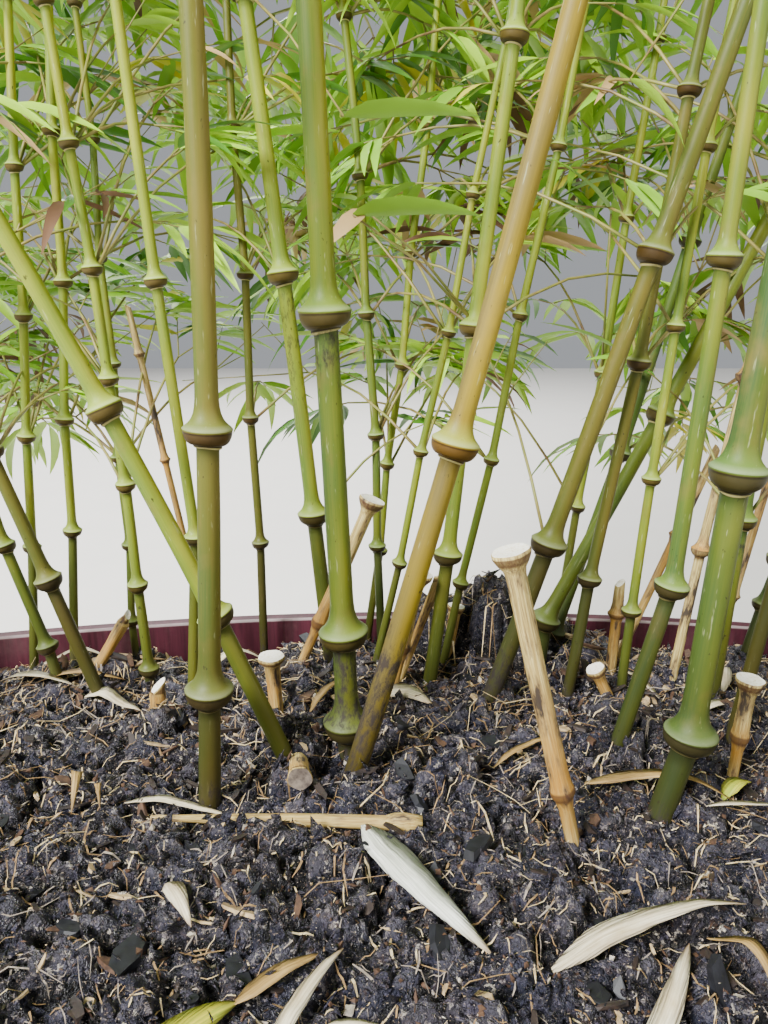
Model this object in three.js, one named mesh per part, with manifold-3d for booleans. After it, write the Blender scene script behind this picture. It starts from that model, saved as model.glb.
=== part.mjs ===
// Potted bamboo: a clump of canes with swollen nodes, grown in a long plastic trough of dark compost.
// Millimetres, +Z up. The origin is the middle of the pot's flat underside, +X runs along the trough
// and +Y points to its back.
import * as THREE from 'three';
import { mergeVertices } from 'three/addons/utils/BufferGeometryUtils.js';
import Module from 'manifold-3d';

const wasm = await Module();
wasm.setup();

// Pot: a long trough with bowed long walls, a thin wall and a turned-out rim
const POT_LENGTH = 840;
const POT_END_WIDTH = 300;
const POT_BOW = 48;
const POT_HEIGHT = 372;
const POT_CORNER = 60;
const POT_WALL = 5;
const POT_FLOOR = 8;
const POT_FOOT_SHARE = 0.92;
const RIM_DEPTH = 26;
const RIM_PROUD = 7;
const OUTLINE_STEPS = 4;

// Soil: its surface lies this high, and every cane is cut flat just above it. A heap of it lies
// against the back wall, behind the middle of the clump.
const SOIL_TOP = 365;
const CLEARANCE = 0.3;
const HEAP_MIDDLE = [25, 164];
const HEAP_HALF = [50, 23];
const HEAP_TALL = 46;
const HEAP_SIDES = 12;
const HEAP_STEPS = 6;

// Canes: each internode is a plain tube, and each node a sharp ring with a cone under it and a flare on it
const RING_SHARE = 2.05;
const CONE_LENGTH = 0.75;
const FLARE_LENGTH = 1.75;
const TIP_SHARE = 0.25;
const INTERNODE_GROWTH = 1.06;
const LONGEST_INTERNODE = 210;
const RINGED_UP_TO = 450;
const PLAIN_STEP = 420;
const STOUT_CANE = 11.5;
const STOUT_SIDES = 6;
const SLIM_SIDES = 5;
const UPRIGHTING = 0.25;
const SPREAD_ALONG = 0.35;
const SPREAD_ACROSS = 1.5;
const CLUMP_MIDDLE_Y = 65;
const FOOT_CUT = 1;

// Foliage: a stem from a node, twigs round it, and a fan of leaves on the end of each. A leaf here
// stands for a few real ones, so it is larger than life.
const LEAF_LONG = 165;
const LEAF_WIDE = 28;
const LEAF_THICK = 2.2;
const LEAF_WIDEST_AT = 0.38;
const LEAF_DROOP = 0.3;
const LEAF_ROOT = 4;
const FAN_ANGLES = [-46, 0, 46];
const STEM_RADIUS = 2.8;
const TWIG_RADIUS = 2;
const TWIGS_PER_STEM = 9;
const FIRST_TWIG_AT = 0.22;
const TWIG_SHARE = 0.62;
const TWIG_SHORTENING = 0.45;
const TWIG_SPLAY = 58;
const GOLDEN_ANGLE = 137.5;
const TRIES = [1, 0.72, 0.48];
const STEM_STEPS = 4;
const STEM_SAG = 0.12;
const ROOM = 2;
const LEAF_TESTS = [0.08, 0.2, 0.38, 0.55, 0.7, 0.85, 1];
const TWIG_TESTS = [0.2, 0.4, 0.6, 0.8, 1];
const TWIG_SCATTER = 50;
const LAST_TWIG_SPLAY = 15;
const LENGTH_SCATTER = [0.85, 1.15];
const FEWEST_LEAVES = 2;
const MIDDLE_ALONG = 0.55;
const FIRST_SEED = 101;
const SEED_STEP = 13;

const TONES = {
  plastic: { color: 0x5a2230, roughness: 0.45 },
  compost: { color: 0x241c18, roughness: 0.95 },
  green: { color: 0x8f9c3e, roughness: 0.42 },
  pale: { color: 0xa3ae52, roughness: 0.42 },
  deep: { color: 0x657a35, roughness: 0.4 },
  olive: { color: 0x8c8040, roughness: 0.45 },
  golden: { color: 0xb39a46, roughness: 0.45 },
  dry: { color: 0xb08a5a, roughness: 0.7 },
  leaf: { color: 0x6f9a38, roughness: 0.5 },
};

// One row per cane that stands alone: where its foot is, its thickness over the soil, how far it
// leans towards +X in degrees, the heights of its lowest nodes, and its height. Kick is how far the
// foot itself stands aside of the cane's line, and sway moves the tip aside.
const CANES = [
  { name: 'cane_front_left', tone: 'olive', foot: [-130, -15], thick: 12, lean: 4, tall: 1950,
    nodes: [60, 190, 375], sway: [-180, 0] },
  { name: 'cane_front_middle', tone: 'green', foot: [-60, 30], thick: 14, lean: -2, tall: 2100,
    nodes: [15, 70, 240, 430] },
  { name: 'cane_golden', tone: 'golden', foot: [-55, 7], thick: 12.5, lean: 16, tall: 1950,
    nodes: [180, 385], sway: [-150, -60] },
  { name: 'cane_front_right', tone: 'green', foot: [105, -30], thick: 13.5, lean: 3, tall: 2050,
    nodes: [45, 175, 335], kick: -7 },
  { name: 'cane_leaning_left', tone: 'green', foot: [-96, 20], thick: 10.5, lean: -21, tall: 1150,
    nodes: [85, 195, 320], sway: [-260, -60] },
  { name: 'cane_left_low', tone: 'olive', foot: [-221, 83], thick: 9, lean: -17, tall: 1300,
    nodes: [80, 160] },
  { name: 'cane_left_edge', tone: 'green', foot: [-257, 105], thick: 7.5, lean: -13, tall: 1350,
    nodes: [25, 95] },
  { name: 'cane_right_upright', tone: 'green', foot: [107, 22], thick: 9.5, lean: 3, tall: 1800,
    nodes: [100, 265], kick: -17, sway: [-120, 0] },
  { name: 'cane_right_thick', tone: 'olive', foot: [27, 80], thick: 11.5, lean: 17, tall: 1950,
    nodes: [105, 270, 450] },
  { name: 'cane_right_sloping', tone: 'deep', foot: [53, 127], thick: 10.5, lean: 26, tall: 1450,
    nodes: [35, 175, 320], kick: 14 },
  { name: 'cane_right_dark', tone: 'deep', foot: [80, 150], thick: 8, lean: 15, tall: 1700,
    nodes: [15, 145, 280, 430] },
  { name: 'cane_right_tan', tone: 'olive', foot: [82, 98], thick: 8, lean: 7, tall: 1750,
    nodes: [75, 210] },
  { name: 'cane_right_thin', tone: 'pale', foot: [115, 95], thick: 6.5, lean: 2, tall: 1400,
    nodes: [55, 140], sway: [150, 60] },
  { name: 'cane_right_light', tone: 'pale', foot: [168, 80], thick: 9, lean: 2, tall: 1850,
    nodes: [120, 260], sway: [180, 140] },
  { name: 'cane_right_olive', tone: 'olive', foot: [163, 38], thick: 8.5, lean: 6, tall: 1650,
    nodes: [110, 240] },
  { name: 'cane_right_edge', tone: 'green', foot: [216, 140], thick: 7.5, lean: 12, tall: 1500,
    nodes: [40, 130] },
  { name: 'cane_middle', tone: 'pale', foot: [-10, 101], thick: 9.5, lean: 6, tall: 2000,
    nodes: [90, 230, 380] },
  { name: 'cane_middle_thin_1', tone: 'green', foot: [-46, 128], thick: 5.5, lean: 12, tall: 1250,
    nodes: [75, 150, 225] },
  { name: 'cane_middle_thin_2', tone: 'green', foot: [-42, 162], thick: 6.5, lean: -1, tall: 1500,
    nodes: [75, 155, 235], sway: [-180, 0] },
  { name: 'cane_middle_thin_3', tone: 'pale', foot: [-52, 182], thick: 6, lean: 7, tall: 1400,
    nodes: [65, 130, 200] },
  { name: 'cane_middle_thin_4', tone: 'green', foot: [1, 128], thick: 6, lean: 11, tall: 1300,
    nodes: [60, 145] },
  { name: 'cane_back_left', tone: 'green', foot: [-78, 142], thick: 11, lean: -5, tall: 2000,
    nodes: [105, 260, 415], sway: [-150, 0] },
  { name: 'cane_left_far', tone: 'pale', foot: [-284, 130], thick: 6.5, lean: 6, tall: 1500,
    nodes: [85, 160, 235, 320] },
  { name: 'cane_left_thin_1', tone: 'green', foot: [-258, 135], thick: 6.5, lean: 5, tall: 1600,
    nodes: [95, 170, 255, 340] },
  { name: 'cane_left_thin_2', tone: 'green', foot: [-195, 102], thick: 7, lean: -1, tall: 1550,
    nodes: [10, 70, 135, 200, 262], sway: [-200, 0] },
  { name: 'cane_left_thin_3', tone: 'green', foot: [-214, 135], thick: 5.5, lean: 1, tall: 1250,
    nodes: [30, 85, 145, 205] },
  { name: 'cane_left_light', tone: 'pale', foot: [-140, 61], thick: 7, lean: -4, tall: 1750,
    nodes: [115, 255], kick: -17 },
  { name: 'cane_left_brown', tone: 'olive', foot: [-130, 170], thick: 6.5, lean: 0, tall: 1600,
    nodes: [75, 165, 260, 350], sway: [-60, 40] },
  { name: 'cane_back_right', tone: 'pale', foot: [90, 178], thick: 6.5, lean: 6, tall: 1500,
    nodes: [100, 195] },
  { name: 'cane_dry', tone: 'dry', foot: [155, 112], thick: 7, lean: 6, tall: 900,
    nodes: [90, 200], sway: [0, -70] },
];

// Canes at the two ends of the trough, planted in a zigzag by a seeded rule within these ranges
const END_CANES = [
  { side: 'left', seed: 41, from: [-325, 55], step: [-28, 60], count: 3 },
  { side: 'right', seed: 67, from: [250, 35], step: [34, 62], count: 4 },
];
const END_SCATTER = [-8, 8];
const END_THICK = [7.5, 10.5];
const END_LEAN = [3, 9];
const END_FIRST_NODE = [40, 80];
const END_SECOND_NODE = [150, 170];
const END_TALL = [1400, 1750];

// Cut-off dead stubs: foot, thickness of the stem and of its last cut node, lean and height
const STUBS = [
  { name: 'stub_front', foot: [49, -52], lean: -14, thick: 9, node: 28, tall: 145, cut: 16.5 },
  { name: 'stub_long', foot: [-98, 122], lean: 23, thick: 9, node: 34, tall: 120, cut: 18 },
  { name: 'stub_middle', foot: [-34, 92], lean: 12, thick: 7, node: 30, tall: 80, cut: 15 },
  { name: 'stub_right', foot: [150, 6], lean: 2, thick: 8, node: 20, tall: 54, cut: 15 },
];

const STUB_SIDES = 8;
const STUB_FOOT_SHARE = 0.7;
const STUB_NODE_SHARE = 1.25;
const STUB_NODE_HALF = 6;
const CUT_FLARE_FROM = 9;
const CUT_EDGE = 3;

// Masses of foliage: the cane and height each grows from, where its stem heads (degrees round from +X,
// and up), and how far it reaches
const MASSES = [
  { name: 'foliage_top_left', cane: 'cane_left_end_1', at: 1300, toward: 215, rise: 58, reach: 340 },
  { name: 'foliage_top_back_left', cane: 'cane_back_left', at: 1600, toward: 115, rise: 62, reach: 350 },
  { name: 'foliage_top_front_left', cane: 'cane_front_left', at: 1600, toward: 235, rise: 62, reach: 340 },
  { name: 'foliage_top_middle', cane: 'cane_front_middle', at: 1850, toward: 90, rise: 68, reach: 320 },
  { name: 'foliage_top_front_right', cane: 'cane_front_right', at: 1700, toward: 300, rise: 62, reach: 340 },
  { name: 'foliage_top_back_right', cane: 'cane_middle', at: 1700, toward: 80, rise: 64, reach: 340 },
  { name: 'foliage_top_right', cane: 'cane_right_thick', at: 1600, toward: 20, rise: 58, reach: 340 },
  { name: 'foliage_left', cane: 'cane_left_low', at: 950, toward: 190, rise: 40, reach: 330 },
  { name: 'foliage_front_left', cane: 'cane_left_light', at: 1150, toward: 235, rise: 35, reach: 320 },
  { name: 'foliage_front_middle', cane: 'cane_golden', at: 1250, toward: 232, rise: 40, reach: 320 },
  { name: 'foliage_front_right', cane: 'cane_right_end_3', at: 1150, toward: 315, rise: 40, reach: 330 },
  { name: 'foliage_back_left', cane: 'cane_left_brown', at: 1100, toward: 120, rise: 38, reach: 320 },
  { name: 'foliage_back_middle', cane: 'cane_back_right', at: 1100, toward: 80, rise: 38, reach: 320 },
  { name: 'foliage_right', cane: 'cane_right_sloping', at: 1100, toward: 30, rise: 35, reach: 330 },
  { name: 'foliage_low_left', cane: 'cane_left_thin_3', at: 600, toward: 125, rise: 25, reach: 300 },
  { name: 'foliage_low_middle', cane: 'cane_middle_thin_2', at: 420, toward: 90, rise: 25, reach: 270 },
  { name: 'foliage_low_right', cane: 'cane_right_dark', at: 600, toward: 65, rise: 25, reach: 300 },
];

function seeded(seed) {
  let state = seed;
  return () => {
    state = (state * 16807) % 2147483647;
    return state / 2147483647;
  };
}

function between([low, high], roll) {
  return low + (high - low) * roll();
}

function radians(degrees) {
  return THREE.MathUtils.degToRad(degrees);
}

// A closed three.js shape as a solid that can be joined and cut
function solid(geometry) {
  const bare = geometry.clone();
  bare.deleteAttribute('normal');
  bare.deleteAttribute('uv');
  const merged = mergeVertices(bare, 1e-3);
  const index = merged.getIndex().array;
  const kept = [];
  for (let i = 0; i < index.length; i += 3) {
    const [a, b, c] = [index[i], index[i + 1], index[i + 2]];
    if (a !== b && b !== c && c !== a) {
      kept.push(a, b, c);
    }
  }
  const vertProperties = Float32Array.from(merged.getAttribute('position').array);
  return new wasm.Manifold(new wasm.Mesh({ numProp: 3, vertProperties, triVerts: Uint32Array.from(kept) }));
}

function geometryOf(body) {
  const mesh = body.getMesh();
  const geometry = new THREE.BufferGeometry();
  geometry.setAttribute('position', new THREE.BufferAttribute(mesh.vertProperties, 3));
  geometry.setIndex(new THREE.BufferAttribute(mesh.triVerts, 1));
  geometry.computeVertexNormals();
  return geometry;
}

// The trough's plan at the rim, drawn in by inset on every side
function potOutline(inset) {
  const x = POT_LENGTH / 2 - inset;
  const y = POT_END_WIDTH / 2 - inset;
  const corner = POT_CORNER - inset;
  const bulge = y + 2 * POT_BOW;
  const outline = new THREE.Shape();
  outline.moveTo(-x + corner, -y);
  outline.quadraticCurveTo(0, -bulge, x - corner, -y);
  outline.quadraticCurveTo(x, -y, x, -y + corner);
  outline.lineTo(x, y - corner);
  outline.quadraticCurveTo(x, y, x - corner, y);
  outline.quadraticCurveTo(0, bulge, -x + corner, y);
  outline.quadraticCurveTo(-x, y, -x, y - corner);
  outline.lineTo(-x, -y + corner);
  outline.quadraticCurveTo(-x, -y, -x + corner, -y);
  return outline;
}

// A slab of the trough's plan between two heights, narrowing evenly towards the foot
function potSlab(inset, low, high) {
  const slab = new THREE.ExtrudeGeometry(potOutline(inset), {
    depth: high - low,
    bevelEnabled: false,
    curveSegments: OUTLINE_STEPS,
  });
  slab.translate(0, 0, low);
  const position = slab.getAttribute('position');
  for (let i = 0; i < position.count; i += 1) {
    const share = POT_FOOT_SHARE + (1 - POT_FOOT_SHARE) * (position.getZ(i) / POT_HEIGHT);
    position.setXY(i, position.getX(i) * share, position.getY(i) * share);
  }
  return slab;
}

function potGeometry() {
  const body = solid(potSlab(0, 0, POT_HEIGHT));
  const rim = solid(potSlab(-RIM_PROUD, POT_HEIGHT - RIM_DEPTH, POT_HEIGHT));
  const hollow = solid(potSlab(POT_WALL, POT_FLOOR, POT_HEIGHT + RIM_DEPTH));
  return geometryOf(body.add(rim).subtract(hollow));
}

function soilGeometry() {
  const inset = POT_WALL + CLEARANCE;
  const filling = solid(potSlab(inset, POT_FLOOR + CLEARANCE, SOIL_TOP));
  const heap = new THREE.SphereGeometry(1, HEAP_SIDES, HEAP_STEPS);
  heap.rotateX(Math.PI / 2);
  heap.scale(...HEAP_HALF, HEAP_TALL);
  heap.translate(...HEAP_MIDDLE, SOIL_TOP);
  return geometryOf(filling.add(solid(heap)));
}

// The line a cane grows along: its foot, its lean, which eases off with height, and the spread that
// carries its tip away from the middle of the clump
class CaneLine extends THREE.Curve {
  constructor(cane) {
    super();
    this.cane = cane;
  }

  getPoint(share, target = new THREE.Vector3()) {
    const { foot, lean, tall, nodes, kick = 0, sway = [0, 0] } = this.cane;
    const rise = share * tall;
    const leaning = Math.tan(radians(lean)) * (rise - UPRIGHTING * rise * share);
    const spreadX = SPREAD_ALONG * foot[0] + sway[0];
    const spreadY = SPREAD_ACROSS * (foot[1] - CLUMP_MIDDLE_Y) + sway[1];
    const aside = kick * Math.max(0, 1 - rise / nodes[0]);
    return target.set(
      foot[0] + aside + leaning + spreadX * share ** 2,
      foot[1] + spreadY * share ** 2,
      SOIL_TOP + CLEARANCE + rise,
    );
  }
}

function caneRadius(cane, height) {
  return (cane.thick / 2) * (1 - (1 - TIP_SHARE) * (height / cane.tall));
}

// The low nodes are given, and the ones above follow at slowly growing distances
function nodeHeights(cane) {
  const heights = [...cane.nodes];
  let internode = heights[heights.length - 1] - heights[heights.length - 2];
  while (heights[heights.length - 1] + internode < cane.tall - internode / 2) {
    internode = Math.min(internode * INTERNODE_GROWTH, LONGEST_INTERNODE);
    heights.push(heights[heights.length - 1] + internode);
  }
  return heights;
}

// A mass grows from the node of its cane that is nearest to its stated height
function bearingNode(mass, cane) {
  return nodeHeights(cane).reduce((best, height) => (
    Math.abs(height - mass.at) < Math.abs(best - mass.at) ? height : best
  ));
}

function bearsMass(cane, height) {
  return MASSES.some((mass) => mass.cane === cane.name && bearingNode(mass, cane) === height);
}

function caneProfile(cane) {
  const profile = [new THREE.Vector2(0, 0), new THREE.Vector2(caneRadius(cane, 0), 0)];
  let last = 0;
  for (const height of nodeHeights(cane)) {
    const radius = caneRadius(cane, height);
    if (height < RINGED_UP_TO) {
      profile.push(new THREE.Vector2(radius, height - CONE_LENGTH * 2 * radius));
      profile.push(new THREE.Vector2(radius * RING_SHARE, height));
      profile.push(new THREE.Vector2(radius, height + FLARE_LENGTH * 2 * radius));
      last = height;
    } else if (height - last > PLAIN_STEP || bearsMass(cane, height)) {
      profile.push(new THREE.Vector2(radius, height));
      last = height;
    }
  }
  profile.push(new THREE.Vector2(caneRadius(cane, cane.tall), cane.tall));
  profile.push(new THREE.Vector2(0, cane.tall));
  return profile;
}

// A turned shape bent along a line; its foot stays level, cut flat on the soil
function bentTurning(profile, sides, line, tall) {
  const geometry = new THREE.LatheGeometry(profile, sides);
  geometry.rotateX(Math.PI / 2);
  const position = geometry.getAttribute('position');
  const up = new THREE.Vector3(0, 0, 1);
  const turn = new THREE.Quaternion();
  const point = new THREE.Vector3();
  for (let i = 0; i < position.count; i += 1) {
    const height = position.getZ(i);
    const share = height / tall;
    turn.identity();
    if (height > FOOT_CUT) {
      turn.setFromUnitVectors(up, line.getTangent(share));
    }
    point.set(position.getX(i), position.getY(i), 0).applyQuaternion(turn).add(line.getPoint(share));
    position.setXYZ(i, point.x, point.y, point.z);
  }
  return geometry;
}

function caneGeometry(cane) {
  const sides = cane.thick > STOUT_CANE ? STOUT_SIDES : SLIM_SIDES;
  return bentTurning(caneProfile(cane), sides, cane.line, cane.tall);
}

function endCanes() {
  const ends = [];
  for (const { side, seed, from, step, count } of END_CANES) {
    const roll = seeded(seed);
    for (let i = 0; i < count; i += 1) {
      const zigzag = (i % 2) * step[1];
      ends.push({
        name: `cane_${side}_end_${i + 1}`,
        foot: [from[0] + step[0] * i, from[1] + zigzag + between(END_SCATTER, roll)],
        thick: between(END_THICK, roll),
        lean: Math.sign(step[0]) * between(END_LEAN, roll),
        nodes: [between(END_FIRST_NODE, roll), between(END_SECOND_NODE, roll)],
        tall: between(END_TALL, roll),
        tone: roll() < 0.5 ? 'green' : 'pale',
      });
    }
  }
  return ends;
}

function stubGeometry({ foot, lean, thick, node, tall, cut }) {
  const base = new THREE.Vector3(foot[0], foot[1], SOIL_TOP + CLEARANCE);
  const top = base.clone();
  top.x += Math.tan(radians(lean)) * tall;
  top.z += tall;
  const radius = thick / 2;
  const profile = [
    [0, 0],
    [radius * STUB_FOOT_SHARE, 0],
    [radius * STUB_FOOT_SHARE, node - STUB_NODE_HALF],
    [radius * STUB_NODE_SHARE, node],
    [radius, node + STUB_NODE_HALF],
    [radius, tall - CUT_FLARE_FROM],
    [cut / 2, tall - CUT_EDGE],
    [cut / 2, tall],
    [0, tall],
  ].map(([across, height]) => new THREE.Vector2(across, height));
  return bentTurning(profile, STUB_SIDES, new THREE.LineCurve3(base, top), tall);
}

function heading(toward, rise) {
  const level = Math.cos(radians(rise));
  return new THREE.Vector3(
    level * Math.cos(radians(toward)),
    level * Math.sin(radians(toward)),
    Math.sin(radians(rise)),
  );
}

// A mass's stem leaves its cane just clear of it, and sags a little towards its end
function stemOf(mass) {
  const cane = canes.find((each) => each.name === mass.cane);
  const node = bearingNode(mass, cane);
  const ring = caneRadius(cane, node) * (node < RINGED_UP_TO ? RING_SHARE : 1);
  const start = cane.line.getPoint(node / cane.tall);
  start.addScaledVector(heading(mass.toward, 0), ring + STEM_RADIUS + CLEARANCE);
  const way = heading(mass.toward, mass.rise);
  const middle = start.clone().addScaledVector(way, mass.reach / 2);
  const end = start.clone().addScaledVector(way, mass.reach);
  end.z -= STEM_SAG * mass.reach;
  return new THREE.QuadraticBezierCurve3(start, middle, end);
}

// A mass keeps to the space that is nearer to its own middle than to any other's
function inOwnSpace(mass, point, margin) {
  return MASSES.every((other) => {
    if (other === mass) {
      return true;
    }
    const apart = mass.middle.distanceTo(other.middle);
    const own = point.distanceToSquared(mass.middle);
    return (point.distanceToSquared(other.middle) - own) / (2 * apart) > margin;
  });
}

function clearOfLimbs(point, margin) {
  return canes.every((cane) => {
    const height = point.z - SOIL_TOP;
    if (height > cane.tall + margin) {
      return true;
    }
    const axis = cane.line.getPoint(Math.min(Math.max(height / cane.tall, 0), 1));
    const girth = caneRadius(cane, height) * (height < RINGED_UP_TO + LONGEST_INTERNODE ? RING_SHARE : 1);
    return Math.hypot(point.x - axis.x, point.y - axis.y) > girth + margin;
  });
}

function hasRoom(mass, point, margin) {
  const low = point.z - margin > POT_HEIGHT;
  return low && inOwnSpace(mass, point, margin) && clearOfLimbs(point, margin);
}

function leafHalfWidth(share) {
  const slope = share < LEAF_WIDEST_AT ? share / LEAF_WIDEST_AT : (1 - share) / (1 - LEAF_WIDEST_AT);
  return (LEAF_WIDE / 2) * slope;
}

function leafHasRoom(mass, root, way) {
  return LEAF_TESTS.every((share) => {
    const point = root.clone().addScaledVector(way, share * LEAF_LONG);
    return hasRoom(mass, point, leafHalfWidth(share) + ROOM);
  });
}

// A leaf is a long diamond with its midrib as a ridge, widest a little nearer to its root
function leafSolid(root, way) {
  const leaf = new THREE.TetrahedronGeometry(Math.sqrt(3));
  leaf.rotateZ(Math.PI / 4);
  leaf.scale(LEAF_WIDE / 2 / Math.SQRT2, LEAF_LONG / 2 / Math.SQRT2, LEAF_THICK / 2);
  leaf.translate(0, LEAF_LONG / 2, 0);
  const position = leaf.getAttribute('position');
  for (let i = 0; i < position.count; i += 1) {
    const atSide = Math.abs(position.getY(i) - LEAF_LONG / 2) < LEAF_THICK;
    if (atSide) {
      position.setY(i, LEAF_WIDEST_AT * LEAF_LONG);
    }
  }
  const side = new THREE.Vector3().crossVectors(way, new THREE.Vector3(0, 0, 1)).normalize();
  const face = new THREE.Vector3().crossVectors(side, way);
  leaf.applyMatrix4(new THREE.Matrix4().makeBasis(side, way, face).setPosition(root));
  return solid(leaf);
}

// An even three-sided rod along a curve
function rodSolid(curve, radius, steps) {
  const corners = [0, 120, 240].map((angle) => (
    new THREE.Vector2(radius * Math.cos(radians(angle)), radius * Math.sin(radians(angle)))
  ));
  return solid(new THREE.ExtrudeGeometry(new THREE.Shape(corners), { steps, extrudePath: curve }));
}

// The leaves at a twig's end spread like a fan and droop a little
function fanOf(mass, end, way) {
  const side = new THREE.Vector3().crossVectors(way, new THREE.Vector3(0, 0, 1)).normalize();
  const face = new THREE.Vector3().crossVectors(side, way);
  const root = end.clone().addScaledVector(way, -LEAF_ROOT);
  return FAN_ANGLES
    .map((angle) => way.clone().applyAxisAngle(face, radians(angle)))
    .map((leafWay) => leafWay.setZ(leafWay.z - LEAF_DROOP).normalize())
    .filter((leafWay) => leafHasRoom(mass, root, leafWay))
    .map((leafWay) => leafSolid(root, leafWay));
}

function twigHasRoom(mass, root, way, long) {
  return TWIG_TESTS.every((share) => (
    hasRoom(mass, root.clone().addScaledVector(way, share * long), TWIG_RADIUS + ROOM)
  ));
}

// Twigs stand round the stem by the golden angle; one that has no room is tried shorter, then skipped
function foliageGeometry(mass, seed) {
  const roll = seeded(seed);
  const pieces = [rodSolid(mass.stem, STEM_RADIUS, STEM_STEPS)];
  for (let i = 0; i < TWIGS_PER_STEM; i += 1) {
    const along = FIRST_TWIG_AT + (1 - FIRST_TWIG_AT) * (i / (TWIGS_PER_STEM - 1));
    const root = mass.stem.getPoint(along);
    const axis = mass.stem.getTangent(along);
    const across = new THREE.Vector3().crossVectors(axis, new THREE.Vector3(0, 0, 1)).normalize();
    across.applyAxisAngle(axis, radians(GOLDEN_ANGLE * i + TWIG_SCATTER * roll()));
    const splay = i === TWIGS_PER_STEM - 1 ? LAST_TWIG_SPLAY : TWIG_SPLAY;
    const way = axis.clone().multiplyScalar(Math.cos(radians(splay)));
    way.addScaledVector(across, Math.sin(radians(splay)));
    const full = mass.reach * TWIG_SHARE * (1 - TWIG_SHORTENING * along) * between(LENGTH_SCATTER, roll);
    for (const share of TRIES) {
      const long = full * share;
      const end = root.clone().addScaledVector(way, long);
      const fan = twigHasRoom(mass, root, way, long) ? fanOf(mass, end, way) : [];
      if (fan.length >= FEWEST_LEAVES) {
        pieces.push(rodSolid(new THREE.LineCurve3(root, end), TWIG_RADIUS, 1), ...fan);
        break;
      }
    }
  }
  const joined = wasm.Manifold.union(pieces);
  const bodies = joined.decompose().sort((a, b) => b.volume() - a.volume());
  return geometryOf(bodies[0]);
}

function finish(tone) {
  return new THREE.MeshStandardMaterial({ metalness: 0, ...TONES[tone] });
}

function named(name, geometry, material) {
  const mesh = new THREE.Mesh(geometry, material);
  mesh.name = name;
  return mesh;
}

const canes = [...CANES, ...endCanes()].map((cane) => ({ ...cane, line: new CaneLine(cane) }));
for (const mass of MASSES) {
  mass.stem = stemOf(mass);
  mass.middle = mass.stem.getPoint(MIDDLE_ALONG);
}

const plant = new THREE.Group();
plant.add(named('pot', potGeometry(), finish('plastic')));
plant.add(named('soil', soilGeometry(), finish('compost')));
for (const cane of canes) {
  plant.add(named(cane.name, caneGeometry(cane), finish(cane.tone)));
}
for (const stub of STUBS) {
  plant.add(named(stub.name, stubGeometry(stub), finish('dry')));
}
MASSES.forEach((mass, i) => {
  plant.add(named(mass.name, foliageGeometry(mass, FIRST_SEED + SEED_STEP * i), finish('leaf')));
});

export default plant;
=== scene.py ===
"""Potted bamboo: a clump of canes with swollen nodes in a long burgundy trough of dark compost.

Metres, +Z up. The origin is the middle of the pot's flat underside, +X runs along the trough and
+Y points to its back. Heights on a cane are measured from the soil.
"""
import math
import random

import bpy
import numpy as np
from bpy.props import FloatProperty, FloatVectorProperty, IntProperty, PointerProperty
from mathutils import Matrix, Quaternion, Vector


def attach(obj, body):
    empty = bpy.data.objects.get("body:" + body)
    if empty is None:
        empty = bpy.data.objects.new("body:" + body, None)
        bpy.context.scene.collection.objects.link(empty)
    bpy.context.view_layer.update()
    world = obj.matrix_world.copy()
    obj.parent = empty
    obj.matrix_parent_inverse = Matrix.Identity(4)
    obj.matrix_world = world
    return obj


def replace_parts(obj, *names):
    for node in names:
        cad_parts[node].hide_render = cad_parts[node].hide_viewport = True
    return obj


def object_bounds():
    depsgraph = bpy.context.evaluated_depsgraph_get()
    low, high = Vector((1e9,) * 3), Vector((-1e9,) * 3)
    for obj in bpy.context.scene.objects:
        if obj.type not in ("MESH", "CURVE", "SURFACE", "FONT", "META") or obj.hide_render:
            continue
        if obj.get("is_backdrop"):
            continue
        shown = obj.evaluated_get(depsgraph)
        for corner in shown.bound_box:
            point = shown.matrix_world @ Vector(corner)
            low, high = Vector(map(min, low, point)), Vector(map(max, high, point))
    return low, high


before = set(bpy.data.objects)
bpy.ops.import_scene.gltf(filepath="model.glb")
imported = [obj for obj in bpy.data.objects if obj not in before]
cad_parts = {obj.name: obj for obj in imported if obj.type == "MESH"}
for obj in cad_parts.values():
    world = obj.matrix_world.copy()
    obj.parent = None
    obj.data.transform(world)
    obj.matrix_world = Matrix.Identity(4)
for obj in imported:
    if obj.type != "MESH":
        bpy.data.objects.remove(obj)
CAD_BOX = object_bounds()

bl_info = {
    "name": "Potted bamboo",
    "version": (1, 0, 0),
    "blender": (4, 5, 0),
    "location": "View3D > Sidebar > Bamboo",
    "description": "Builds a clump of bamboo canes in a trough of compost",
    "category": "Add Mesh",
}

BODY = "root"
UP = Vector((0, 0, 1))

# The trough's plan, its wall and its rim
POT_LENGTH = 0.840
POT_END_WIDTH = 0.300
POT_BOW = 0.048
POT_HEIGHT = 0.372
POT_CORNER = 0.060
POT_FLOOR = 0.008
POT_FOOT_SHARE = 0.92
RIM_PROUD = 0.007
RIM_EDGE = 0.0015
WALL_STEPS = 48
CORNER_STEPS = 10

# The soil's level, how far it stops short of the wall, and how deep its skirt reaches
SOIL_TOP = 0.365
SOIL_GAP = 0.004
SKIRT_DEEP = 0.05
CLEARANCE = 0.0003

# The heap against the back wall, whose front slope reaches further, and the dip along the walls
HEAP_MIDDLE = (0.025, 0.164)
HEAP_HALF = (0.050, 0.023)
HEAP_TALL = 0.046
HEAP_FRONT_SHARE = 1.6
DIP_DEEP = 0.022
DIP_TILT = 0.008
DIP_REACH = 0.026

# Two soft rises beside the heap: how tall, then the middle and the reach along x and along y
SHOULDER = (0.018, 0.09, 0.06, 0.185, 0.03)
FOOT_SLOPE = (0.014, 0.025, 0.06, 0.150, 0.035)

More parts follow.
